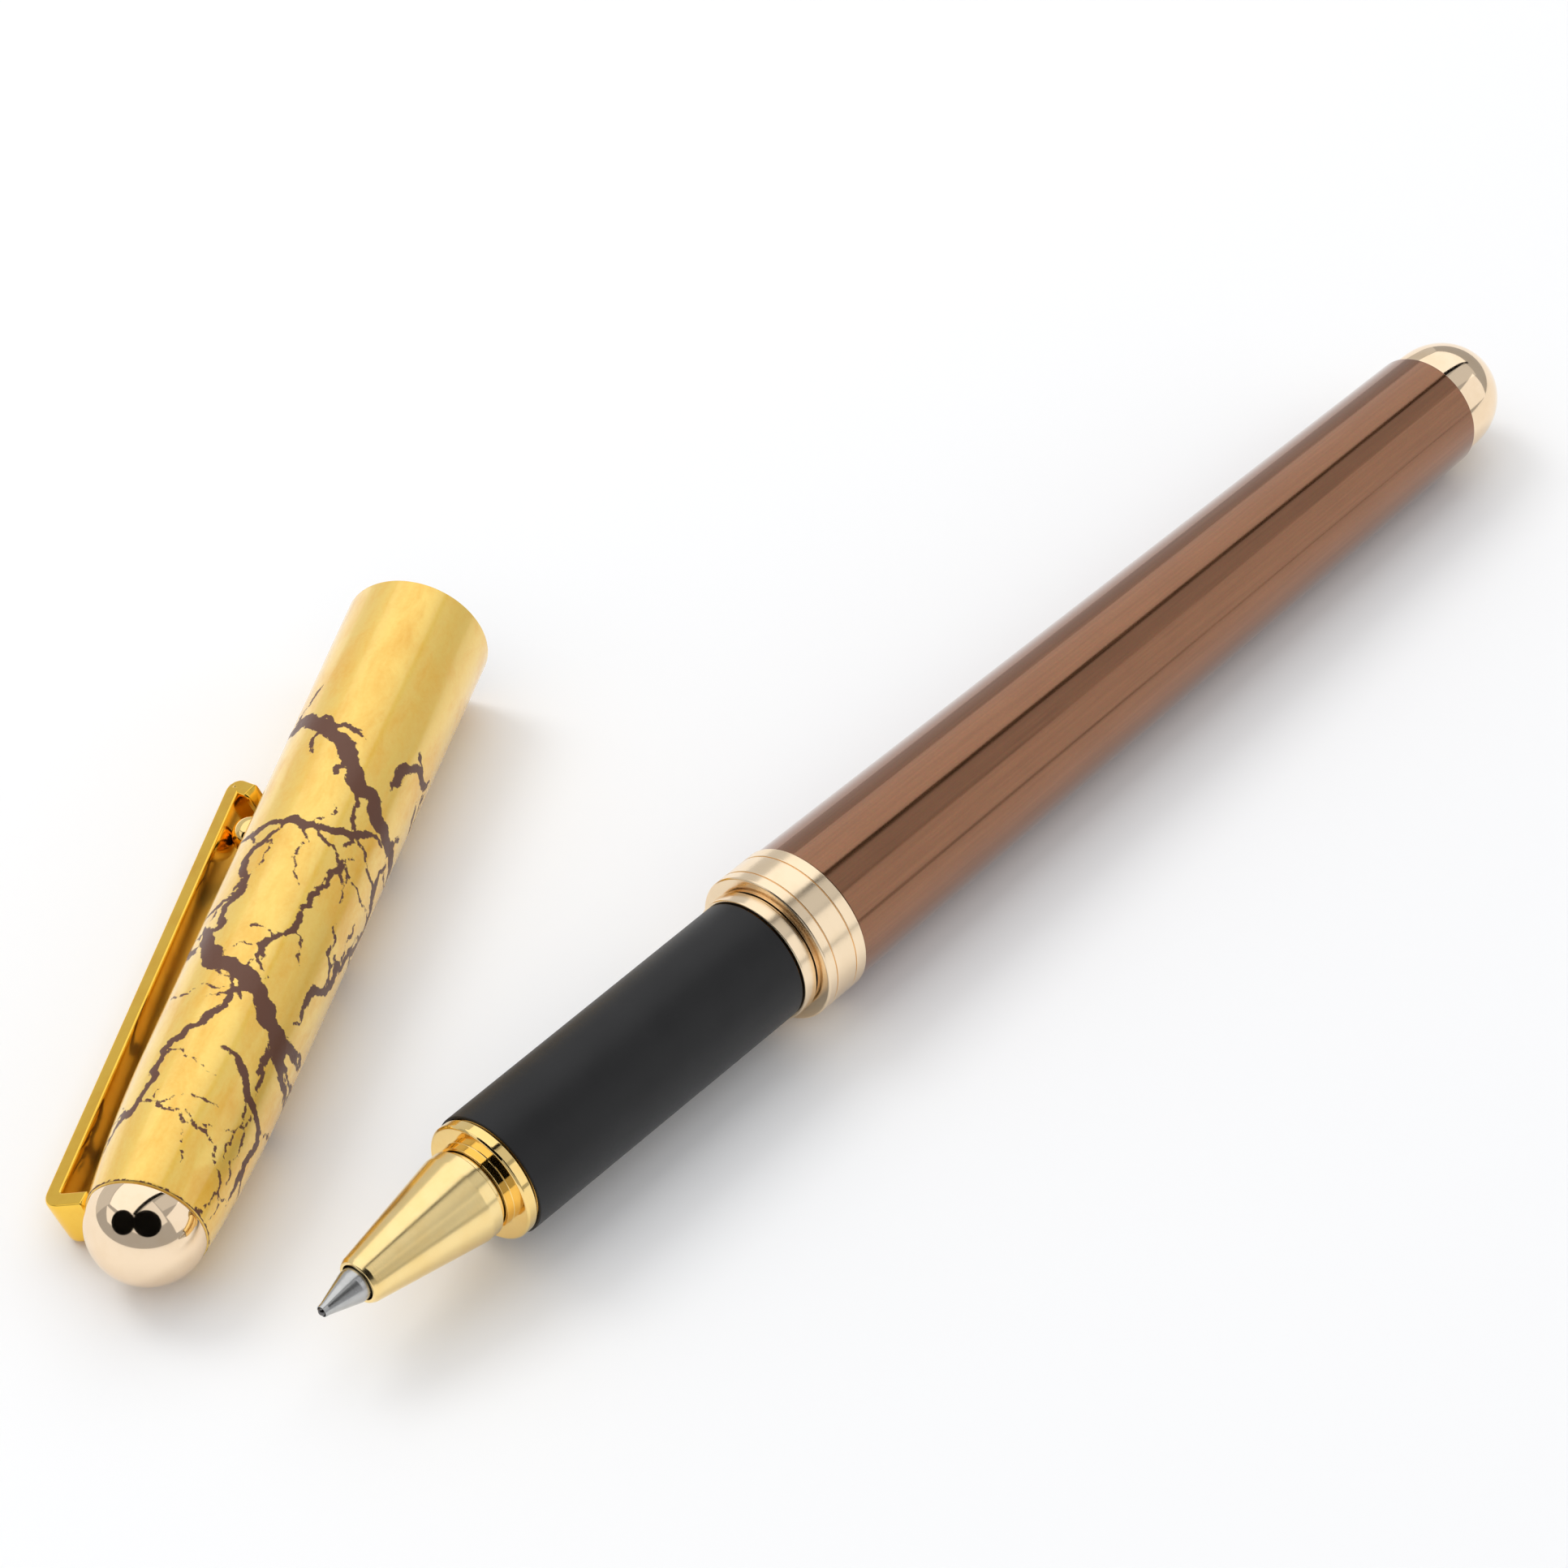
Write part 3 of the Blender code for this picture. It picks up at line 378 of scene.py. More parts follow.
def sweep(name: str, rings: np.ndarray, body: str) -> bpy.types.Object:
    """Join rings of points into a tube with a fan over each end.

    Args:
        name: The piece's name.
        rings: Points as (ring, place in the ring, xyz).
        body: The CAD body that the piece moves with.

    Returns:
        The piece, with its faces outwards whichever way the rings go round.
    """
    count, sides = rings.shape[:2]
    points = rings.reshape(-1, 3)
    ring = np.arange(sides)
    following = (ring + 1) % sides
    offset = (count - 1) * sides
    middles = np.stack([rings[0].mean(axis=0), rings[-1].mean(axis=0)])
    points = np.concatenate([points, middles])
    fans = np.concatenate([
        np.stack([np.full(sides, count * sides), ring, following], -1),
        np.stack([np.full(sides, count * sides + 1), offset + following, offset + ring], -1),
    ])
    faces = [grid_faces(count, sides, closed_rows=False), fans]
    quads = points[faces[0]]
    heart = points.mean(axis=0)
    normal = np.cross(quads[:, 1] - quads[:, 0], quads[:, 2] - quads[:, 0])
    volume = np.einsum("ij,ij->", normal, quads.mean(axis=1) - heart)
    if volume < 0:
        faces = [f[:, ::-1] for f in faces]
    return mesh_object(name, points, faces, None, body)


# ---------------------------------------------------------------------------------------------
# Finishes
# ---------------------------------------------------------------------------------------------


def add(tree: bpy.types.NodeTree, kind: str, inputs: dict | None = None,
        **settings: object) -> bpy.types.Node:
    """Add a node with its settings, values and links.

    Args:
        tree: The tree that gets the node.
        kind: The node's type name.
        inputs: A value, or another node's output socket, for each named or numbered input.
        settings: The node's own properties.

    Returns:
        The new node.
    """
    node = tree.nodes.new(kind)
    for key, value in settings.items():
        setattr(node, key, value)
    for key, value in (inputs or {}).items():
        if isinstance(value, bpy.types.NodeSocket):
            tree.links.new(value, node.inputs[key])
        else:
            node.inputs[key].default_value = value
    return node


def blank_material(name: str) -> tuple[bpy.types.Material, bpy.types.NodeTree, bpy.types.Node]:
    """A material with only its output and a Principled shader, its tree and its shader."""
    material = bpy.data.materials.new(name)
    material.use_nodes = True
    tree = material.node_tree
    tree.nodes.clear()
    shader = add(tree, "ShaderNodeBsdfPrincipled")
    add(tree, "ShaderNodeOutputMaterial", {"Surface": shader.outputs["BSDF"]})
    return material, tree, shader


@dataclass(frozen=True)
class MetallicLacquer:
    """Brown metallic lacquer on a drawn brass tube, sprayed and clear-coated.

    The tube's drawing lines show through as fine lengthwise hairs, and the flakes as a faint
    sparkle. The clear coat gives hard reflections over the soft ones of the flake layer.
    """

    name: str = "brown_metallic_lacquer"
    light: str = "#946648"
    dark: str = "#885d41"
    metallic: float = 0.92
    roughness: float = 0.13
    coat: float = 0.5
    coat_roughness: float = 0.03
    hair_spacing_mm: float = 0.22
    hair_length_mm: float = 12.0
    flake_mm: float = 0.10

    def build(self, axis: TurningAxis) -> bpy.types.Material:
        """Build the lacquer on the pen's own coordinates."""
        material, tree, shader = blank_material(self.name)
        place = axis.coordinates(tree)
        stretch = (1 / self.hair_length_mm, 1 / self.hair_spacing_mm, 1 / self.hair_spacing_mm)
        along = add(tree, "ShaderNodeMapping", {"Vector": place, "Scale": stretch})
        hairs = add(
            tree, "ShaderNodeTexNoise",
            {"Vector": along.outputs["Vector"], "Scale": 1.0, "Detail": 4.0, "Roughness": 0.65},
        )
        clouds = add(tree, "ShaderNodeTexNoise", {"Vector": place, "Scale": 0.25, "Detail": 2.0})
        flakes = add(
            tree, "ShaderNodeTexVoronoi", {"Vector": place, "Scale": 1 / self.flake_mm},
        )
        shade = add(
            tree, "ShaderNodeMapRange",
            {"Value": hairs.outputs["Fac"], "From Min": 0.32, "From Max": 0.68},
        )
        colour = add(
            tree, "ShaderNodeMix",
            {0: shade.outputs["Result"], 6: linear(self.dark), 7: linear(self.light)},
            data_type="RGBA",
        )
        tint = add(
            tree, "ShaderNodeMix",
            {0: clouds.outputs["Fac"], 6: (0.94, 0.93, 0.92, 1.0), 7: (1.06, 1.05, 1.04, 1.0)},
            data_type="RGBA",
        )
        clouded = add(
            tree, "ShaderNodeMix", {0: 1.0, 6: colour.outputs[2], 7: tint.outputs[2]},
            data_type="RGBA", blend_type="MULTIPLY",
        )
        sparkle = add(
            tree, "ShaderNodeMix",
            {0: 0.06, 6: clouded.outputs[2], 7: flakes.outputs["Color"]},
            data_type="RGBA", blend_type="OVERLAY",
        )
        gloss = add(
            tree, "ShaderNodeMapRange",
            {"Value": hairs.outputs["Fac"], "From Min": 0.3, "From Max": 0.7,
             "To Min": self.roughness * 0.8, "To Max": self.roughness * 1.25},
        )
        bump = add(
            tree, "ShaderNodeBump",
            {"Height": hairs.outputs["Fac"], "Strength": 0.08, "Distance": 0.008 * MM},
        )
        tree.links.new(sparkle.outputs[2], shader.inputs["Base Color"])
        tree.links.new(gloss.outputs["Result"], shader.inputs["Roughness"])
        tree.links.new(bump.outputs["Normal"], shader.inputs["Normal"])
        shader.inputs["Metallic"].default_value = self.metallic
        shader.inputs["Coat Weight"].default_value = self.coat
        shader.inputs["Coat Roughness"].default_value = self.coat_roughness
        return material


@dataclass(frozen=True)
class CrackledLeaf:
    """Gold leaf laid over brown lacquer, cracked, burnished and varnished.

    The leaf gives a soft, grainy metal glow with ochre streaks where it is thin. The torn edges
    of the cracks show the brown lacquer under it.
    """

    name: str = "crackled_gold_leaf"
    leaf: str = "#ffd866"
    thin: str = "#f9bf3c"
    ground: str = "#633c28"
    roughness: float = 0.38
    grain_mm: float = 0.30
    patch_mm: float = 2.2
    tear_mm: float = 0.42
    flake_mm: float = 0.36
    tear_depth_mm: float = 0.17
    metallic: float = 0.55
    ground_metallic: float = 0.10
    varnish: float = 1.0
    ground_varnish: float = 0.05
    varnish_roughness: float = 0.12
    varnish_ior: float = 1.55

    def build(self, axis: TurningAxis) -> bpy.types.Material:
        """Build the leaf on the cap's own coordinates and its crack attribute."""
        material, tree, shader = blank_material(self.name)
        place = axis.coordinates(tree)
        grain = add(
            tree, "ShaderNodeTexNoise",
            {"Vector": place, "Scale": 1 / self.grain_mm, "Detail": 3.0, "Roughness": 0.6},
        )
        streaks = add(
            tree, "ShaderNodeMapping",
            {"Vector": place,
             "Scale": (0.5 / self.patch_mm, 1.2 / self.patch_mm, 1.2 / self.patch_mm)},
        )
        patches = add(
            tree, "ShaderNodeTexNoise",
            {"Vector": streaks.outputs["Vector"], "Scale": 1.0, "Detail": 5.0,
             "Roughness": 0.62, "Distortion": 0.4},
        )
        thinness = add(
            tree, "ShaderNodeMapRange",
            {"Value": patches.outputs["Fac"], "From Min": 0.42, "From Max": 0.78},
        )
        grainy = add(
            tree, "ShaderNodeMath",
            {0: grain.outputs["Fac"], 1: 0.6, 2: thinness.outputs["Result"]},
            operation="MULTIPLY_ADD",
        )
        worn = add(
            tree, "ShaderNodeMapRange",
            {"Value": grainy.outputs["Value"], "From Min": 0.20, "From Max": 1.2},
        )
        gold = add(
            tree, "ShaderNodeMix",
            {0: worn.outputs["Result"], 6: linear(self.leaf), 7: linear(self.thin)},
            data_type="RGBA",
        )
        tears = add(
            tree, "ShaderNodeTexNoise",
            {"Vector": place, "Scale": 1 / self.tear_mm, "Detail": 4.0, "Roughness": 0.7},
        )
        crack = add(tree, "ShaderNodeAttribute", attribute_name="crack")
        bits = add(
            tree, "ShaderNodeTexVoronoi", {"Vector": place, "Scale": 1 / self.flake_mm},
        )
        frayed = add(
            tree, "ShaderNodeMath",
            {0: tears.outputs["Fac"], 1: 2 * self.tear_depth_mm, 2: crack.outputs["Fac"]},
            operation="MULTIPLY_ADD",
        )
        edge = add(
            tree, "ShaderNodeMath",
            {0: bits.outputs["Color"], 1: self.tear_depth_mm, 2: frayed.outputs["Value"]},
            operation="MULTIPLY_ADD",
        )
        middle = 1.5 * self.tear_depth_mm
        open_leaf = add(
            tree, "ShaderNodeMapRange",
            {"Value": edge.outputs["Value"], "From Min": middle, "From Max": middle + 0.05,
             "To Min": 1.0, "To Max": 0.0},
        )
        shown = open_leaf.outputs["Result"]
        colour = add(
            tree, "ShaderNodeMix",
            {0: shown, 6: gold.outputs[2], 7: linear(self.ground)}, data_type="RGBA",
        )
        metal = add(
            tree, "ShaderNodeMapRange",
            {"Value": shown, "To Min": self.metallic, "To Max": self.ground_metallic},
        )
        gloss = add(
            tree, "ShaderNodeMapRange",
            {"Value": grainy.outputs["Value"], "From Min": 0.1, "From Max": 1.1,
             "To Min": self.roughness * 0.8, "To Max": self.roughness * 1.3},
        )
        height = add(
            tree, "ShaderNodeMath", {0: grain.outputs["Fac"], 1: shown}, operation="SUBTRACT",
        )
        bump = add(
            tree, "ShaderNodeBump",
            {"Height": height.outputs["Value"], "Strength": 0.35, "Distance": 0.02 * MM},
        )
        tree.links.new(colour.outputs[2], shader.inputs["Base Color"])
        tree.links.new(metal.outputs["Result"], shader.inputs["Metallic"])
        tree.links.new(gloss.outputs["Result"], shader.inputs["Roughness"])
        tree.links.new(bump.outputs["Normal"], shader.inputs["Normal"])
        varnish = add(
            tree, "ShaderNodeMapRange",
            {"Value": shown, "To Min": self.varnish, "To Max": self.ground_varnish},
        )
        tree.links.new(varnish.outputs["Result"], shader.inputs["Coat Weight"])
        shader.inputs["Coat Roughness"].default_value = self.varnish_roughness
        shader.inputs["Coat IOR"].default_value = self.varnish_ior
        return material


@dataclass(frozen=True)
class TurnedMetal:
    """A metal piece turned on a lathe and then plated, polished or left bright.

    The tool leaves rings round the piece, finer than the eye can part, which draw highlights
    out into fans. Handling leaves faint clouds of tarnish.
    """

    name: str
    light: str
    deep: str
    roughness: float
    ring_spacing_mm: float = 0.06
    ring_depth_mm: float = 0.0008
    tarnish: float = 0.15
    cloud_mm: float = 2.5

    def build(self, axis: TurningAxis) -> bpy.types.Material:
        """Build the metal with its tool rings square to the axis."""
        material, tree, shader = blank_material(self.name)
        place = axis.coordinates(tree)
        parts = add(tree, "ShaderNodeSeparateXYZ", {"Vector": place})
        flat = add(
            tree, "ShaderNodeCombineXYZ", {"Y": parts.outputs["Y"], "Z": parts.outputs["Z"]},
        )
        out = add(
            tree, "ShaderNodeVectorMath", {0: flat.outputs["Vector"]}, operation="LENGTH",
        )
        run = add(
            tree, "ShaderNodeMath", {0: parts.outputs["X"], 1: out.outputs["Value"]},
            operation="SUBTRACT",
        )
        rings = add(
            tree, "ShaderNodeTexNoise",
            {"W": run.outputs["Value"], "Scale": 1 / self.ring_spacing_mm, "Detail": 2.0},
            noise_dimensions="1D",
        )
        clouds = add(
            tree, "ShaderNodeTexNoise",
            {"Vector": place, "Scale": 1 / self.cloud_mm, "Detail": 5.0, "Roughness": 0.6},
        )
        dull = add(
            tree, "ShaderNodeMapRange",
            {"Value": clouds.outputs["Fac"], "From Min": 0.45, "From Max": 0.75,
             "To Max": self.tarnish},
        )
        colour = add(
            tree, "ShaderNodeMix",
            {0: dull.outputs["Result"], 6: linear(self.light), 7: linear(self.deep)},
            data_type="RGBA",
        )
        gloss = add(
            tree, "ShaderNodeMapRange",
            {"Value": clouds.outputs["Fac"], "From Min": 0.3, "From Max": 0.8,
             "To Min": self.roughness * 0.85, "To Max": self.roughness * 1.3},
        )
        bump = add(
            tree, "ShaderNodeBump",
            {"Height": rings.outputs["Fac"], "Strength": 1.0,
             "Distance": self.ring_depth_mm * MM},
        )
        tree.links.new(colour.outputs[2], shader.inputs["Base Color"])
        tree.links.new(gloss.outputs["Result"], shader.inputs["Roughness"])
        tree.links.new(bump.outputs["Normal"], shader.inputs["Normal"])
        shader.inputs["Metallic"].default_value = 1.0
        return material


@dataclass(frozen=True)
class MouldedMatter:
    """A plastic, rubber, paint or fibre with a fine grain in its surface."""

    name: str
    light: str
    dark: str
    roughness: float
    grain_mm: float
    grain_depth_mm: float
    specular: float = 0.5
    sheen: float = 0.0

    def build(self, axis: TurningAxis) -> bpy.types.Material:
        """Build the matter with an even grain and a slow change of shade."""
        material, tree, shader = blank_material(self.name)
        place = axis.coordinates(tree)
        grain = add(
            tree, "ShaderNodeTexNoise",
            {"Vector": place, "Scale": 1 / self.grain_mm, "Detail": 3.0, "Roughness": 0.6},
        )
        clouds = add(tree, "ShaderNodeTexNoise", {"Vector": place, "Scale": 0.3, "Detail": 3.0})
        shade = add(
            tree, "ShaderNodeMath",
            {0: grain.outputs["Fac"], 1: 0.5, 2: clouds.outputs["Fac"]}, operation="MULTIPLY_ADD",
        )
        share = add(
            tree, "ShaderNodeMapRange",
            {"Value": shade.outputs["Value"], "From Min": 0.5, "From Max": 1.0},
        )
        colour = add(
            tree, "ShaderNodeMix",
            {0: share.outputs["Result"], 6: linear(self.dark), 7: linear(self.light)},
            data_type="RGBA",
        )
        gloss = add(
            tree, "ShaderNodeMapRange",
            {"Value": grain.outputs["Fac"], "From Min": 0.3, "From Max": 0.7,
             "To Min": self.roughness * 0.9, "To Max": self.roughness * 1.1},
        )
        bump = add(
            tree, "ShaderNodeBump",
            {"Height": grain.outputs["Fac"], "Strength": 0.6,
             "Distance": self.grain_depth_mm * MM},
        )
        tree.links.new(colour.outputs[2], shader.inputs["Base Color"])
        tree.links.new(gloss.outputs["Result"], shader.inputs["Roughness"])
        tree.links.new(bump.outputs["Normal"], shader.inputs["Normal"])
        shader.inputs["Specular IOR Level"].default_value = self.specular
        shader.inputs["Sheen Weight"].default_value = self.sheen
        return material


class Finish(Enum):
    """The pen's finishes, each with the record's material slot that it belongs to."""

    # Brown with a soft metal glow under hard, clear reflections.
    LACQUER = ("brown_lacquer", MetallicLacquer())
    # Deep grainy gold, broken by torn brown cracks.
    LEAF = ("gold_leaf", CrackledLeaf())
    # A bright yellow mirror with its highlights drawn out a little round the piece.
    YELLOW_GOLD = (
        "yellow_gold",
        TurnedMetal("polished_yellow_gold_plate", "#ffdf95", "#f3bd4c", 0.08, 0.08, 0.0006, 0.3),
    )
    # The same gold, brushed: broad soft bands of light in place of a mirror's.
    SATIN_GOLD = (
        "yellow_gold",
        TurnedMetal("brushed_yellow_gold_plate", "#ffe3a2", "#f6c866", 0.19, 0.08, 0.0012, 0.3),
    )
    # A deeper orange gold, smooth from the press tool, that darkens where it faces the cap.
    CLIP_GOLD = (
        "yellow_gold",
        TurnedMetal("stamped_yellow_gold_plate", "#ffd054", "#e8a020", 0.12, 0.3, 0.0004, 0.35),
    )
    # Pale pinkish gold with silky highlights along the ring.
    CHAMPAGNE_SATIN = (
        "champagne_gold",
        TurnedMetal("satin_champagne_gold_plate", "#fbe4c2", "#e6c490", 0.19, 0.05, 0.0022, 0.2),
    )
    # The same pale gold as a near mirror, which shows the studio in its domes.
    CHAMPAGNE_POLISH = (
        "champagne_gold",
        TurnedMetal(
            "polished_champagne_gold_plate", "#fae2c2", "#e0ba84", 0.07, 0.1, 0.0003, 0.25,
        ),
    )
    # Bare brown-yellow brass with dull patches.
    BRASS = ("brass", TurnedMetal("turned_brass", "#d8ab5c", "#a87632", 0.26, 0.07, 0.002, 0.5))
    # Cool grey steel with visible tool rings.
    STEEL = (
        "stainless_steel",
        TurnedMetal("turned_steel", "#c8c8c6", "#86868a", 0.24, 0.05, 0.0016, 0.4),
    )
    # A dark grey bead with one small sharp highlight.
    CARBIDE = (
        "tungsten_carbide",
        TurnedMetal("lapped_carbide", "#6e6c6c", "#4a4848", 0.10, 0.02, 0.0001),
    )
    # Black with a wide, dim, velvety sheen and no reflections.
    SOFT_TOUCH = (
        "black_rubber_paint",
        MouldedMatter(
            "soft_touch_black_paint", "#1b1b1c", "#141415", 0.46, 0.09, 0.004, 0.30, 0.05,
        ),
    )
    # Plain black plastic with a dull shine.
    BLACK_PLASTIC = (
        "black_plastic",
        MouldedMatter("moulded_black_abs", "#26262a", "#1a1a1c", 0.42, 0.15, 0.003),
    )
    # Milky, slightly waxy white.
    WHITE_PLASTIC = (
        "white_plastic",
        MouldedMatter("extruded_white_pp", "#e4e3dc", "#cfcdc4", 0.40, 0.4, 0.004),
    )
    # Felt soaked with blue-black ink: dark, matt and rough.
    FIBRE = ("ink_fibre", MouldedMatter("inked_fibre", "#1b2450", "#0c1230", 0.92, 0.08, 0.03, 0.2))
    # Matt black rubber.
    RUBBER = (
        "nitrile_rubber",
        MouldedMatter("moulded_nitrile", "#1c1c1c", "#101010", 0.62, 0.1, 0.004),
    )


class Wardrobe:
    """Builds each finish once for each axis and puts it on pieces."""

    def __init__(self) -> None:
        """Start with nothing built."""
        self.built: dict[tuple[Finish, int], bpy.types.Material] = {}

    def dress(self, piece: bpy.types.Object, finish: Finish, axis: TurningAxis,
              *nodes: str) -> None:
        """Give a piece its finish, and hide the CAD nodes that it stands for.

        Args:
            piece: A new piece or a CAD node.
            finish: The finish that it wears.
            axis: The axis that the finish's pattern follows.
            nodes: The CAD nodes that the piece replaces; none for a carried-over node.
        """
        slot, kind = finish.value
        key = (finish, id(axis))
        if key not in self.built:
            self.built[key] = kind.build(axis)
        piece.data.materials.clear()
        piece.data.materials.append(self.built[key])
        if nodes:
            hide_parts(*nodes)
        LOG.info("%s: %s, %d vertices", piece.name, finish.name, len(piece.data.vertices))


# ---------------------------------------------------------------------------------------------
# The pen
# ---------------------------------------------------------------------------------------------


@dataclass
class Pen:
    """The pen itself: refill, nose, writing section and barrel."""

    nodes: dict[str, bpy.types.Object]
    axis: TurningAxis
    wardrobe: Wardrobe
    edge: float = 0.06 * MM
    thread_depth: float = 0.20 * MM
    thread_pitch: float = 0.75 * MM
    groove_width: float = 0.10 * MM
    groove_depth: float = 0.12 * MM
    front_band: float = 0.86 * MM
    middle_band: float = 1.93 * MM
    collar_bead: float = 1.08 * MM
    collar_step: float = 0.26 * MM
    tail_land: float = 1.9 * MM
    # Refill tip.
    fine_edge: float = 0.05 * MM
    tip_cone: float = 2.64 * MM
    tip_lip: float = 0.04 * MM
    tip_flare_length: float = 0.35 * MM
    tip_flare: float = 0.10 * MM
    ball_room: float = 0.06 * MM
    socket_depth: float = 0.46 * MM
    channel_start: float = 0.52 * MM
    channel_end: float = 2.2 * MM
    channel_radius: float = 0.25 * MM
    wick_bore_start: float = 2.5 * MM
    wick_bore: float = 0.6 * MM
    # Nose cone and flange ring.
    cone_length: float = 8.90 * MM
    cone_land_end: float = 9.78 * MM
    nose_mouth: float = 1.52 * MM
    nose_mouth_bevel: float = 0.30 * MM
    nose_mouth_outside: float = 1.68 * MM
    neck_radius: float = 2.86 * MM
    neck_gap: float = 0.10 * MM
    shank_wall: float = 0.36 * MM
    holder_stop: float = 1.6 * MM
    holder_stop_radius: float = 1.75 * MM
    flange_front_edge: float = 3.04 * MM
    flange_front: float = 3.10 * MM
    flange_rear_length: float = 0.88 * MM
    flange_bevel: float = 0.14 * MM
    flange_rear_bevel: tuple[float, float] = (0.10 * MM, 0.08 * MM)
    # Grip and collar.
    grip_front_rise: float = 0.12 * MM
    grip_edge: float = 0.14 * MM
    collar_gap: float = 0.02 * MM
    collar_edge: float = 0.12 * MM
    # Threaded core.
    thread_turns: int = 8
    thread_rows: int = 161
    thread_room: float = 0.22 * MM
    seal_room: float = 0.08 * MM
    seal_floor: float = 0.06 * MM
    core_mouth_length: float = 3.0 * MM
    core_mouth: float = 2.88 * MM
    # Centre ring.
    ring_bevel: float = 0.10 * MM
    groove_floor_share: float = 0.6
    recess_depth: float = 1.25 * MM
    recess_room: float = 0.04 * MM
    ring_wall: float = 0.95 * MM
    # Barrel and tail.
    barrel_wall: float = 0.45 * MM
    tail_gap: float = 0.10 * MM
    tail_stud: float = 1.5 * MM
    tail_stud_bevel: float = 0.1 * MM

    def measure(self, name: str) -> Extent:
        """The extent of one of the pen's nodes."""
        return self.axis.extent(self.nodes[name])

    def build(self) -> None:
        """Build and dress every piece."""
        self.build_tip()
        self.build_nose()
        self.build_grip()
        self.build_core()
        self.build_ring()
        self.build_barrel()
        self.build_tail()
        self.dress_inside()

    def build_tip(self) -> None:
        """The refill's steel tip: a long cone, a shoulder, a shank, and the ball in its mouth."""
        tip = self.measure("refill_tip")
        ball = self.measure("writing_ball")
        radius = ball.length / 2
        mouth = radius + self.ball_room
        outline = soften([
            (tip.start, mouth + self.tip_lip),
            (tip.start + self.tip_flare_length, mouth + self.tip_flare),
            (tip.start + self.tip_cone, tip.end_radius),
            (tip.end, tip.end_radius),
            (tip.end, self.wick_bore),
            (tip.start + self.wick_bore_start, self.wick_bore),
            (tip.start + self.channel_end, self.channel_radius),
            (tip.start + self.channel_start, self.channel_radius),
            (tip.start + self.socket_depth, mouth),
            (tip.start, mouth),
        ], self.fine_edge, 4)
        piece = lathe("turned_tip", self.axis, outline, "refill", 96)
        self.wardrobe.dress(piece, Finish.STEEL, self.axis, "refill_tip")
        sphere = quarter_arc((ball.start + radius, 0.0), (radius, radius), 180, 0, 24)
        sphere[[0, -1], 1] = 0.0
        bead = lathe("carbide_ball", self.axis, sphere, "ball", 48, solid=True)
        self.wardrobe.dress(bead, Finish.CARBIDE, self.axis, "writing_ball")

    def build_nose(self) -> None:
        """The brushed cone with its land, and the stepped flange ring behind it."""
        cone = self.measure("nose_cone")
        flange = self.measure("nose_flange_ring")
        land_end = cone.start + self.cone_land_end
        cone_end = cone.start + self.cone_length
        neck_end = flange.start - self.neck_gap
        stop = cone.start + self.holder_stop
        shank = cone.end_radius
        outline = soften([
            (cone.start, self.nose_mouth),
            (cone.start + self.nose_mouth_bevel, self.nose_mouth_outside),
            (cone_end, cone.radius),
            (land_end, cone.radius),
            (land_end, self.neck_radius),
            (neck_end, self.neck_radius),
            (neck_end, shank),
            (cone.end, shank),
            (cone.end, shank - self.shank_wall),
            (cone_end, shank - self.shank_wall),
            (stop, self.holder_stop_radius),
            (stop, cone.bore),
            (cone.start, cone.bore),
        ], self.edge, 5)
        piece = lathe("nose_cone_brushed", self.axis, outline, "section", 256)
        self.wardrobe.dress(piece, Finish.SATIN_GOLD, self.axis, "nose_cone")

        step_end = flange.end - self.flange_rear_length
        back, drop = self.flange_rear_bevel
        ring = soften([
            (flange.start, self.flange_front_edge),
            (flange.start, self.flange_front),
            (step_end, self.flange_front),
            (step_end, flange.radius - self.flange_bevel),
            (step_end + self.flange_bevel, flange.radius),
            (flange.end - back, flange.radius),
            (flange.end, flange.radius - drop),
            (flange.end, flange.bore),
            (flange.start, flange.bore),
        ], self.edge, 5)
        piece = lathe("nose_flange_polished", self.axis, ring, "section", 256)
        self.wardrobe.dress(piece, Finish.YELLOW_GOLD, self.axis, "nose_flange_ring")

    def build_grip(self) -> None:
        """The grip sleeve, and the collar behind it: a rounded bead and a step up to the ring."""
        grip = self.measure("grip_sleeve")
        front = grip.start_radius + self.grip_front_rise
        sleeve = soften([
            (grip.start, front), (grip.end, grip.radius), (grip.end, grip.bore),
            (grip.start, grip.bore),
        ], self.grip_edge, 6)
        piece = lathe("soft_touch_grip", self.axis, sleeve, "section", 256)
        self.wardrobe.dress(piece, Finish.SOFT_TOUCH, self.axis, "grip_sleeve")

        collar = self.measure("section_collar")
        bead_end = collar.start + self.collar_bead
        seat = self.measure("centre_ring").start - self.collar_gap
        step = collar.radius - self.collar_step
        outline = soften([
            (collar.start, collar.bore), (collar.start, collar.radius),
            (bead_end, collar.radius), (bead_end, step), (seat, step), (seat, collar.bore),
        ], self.collar_edge, 6)
        piece = lathe("snap_collar", self.axis, outline, "section", 256)
        self.wardrobe.dress(piece, Finish.CHAMPAGNE_SATIN, self.axis, "section_collar")

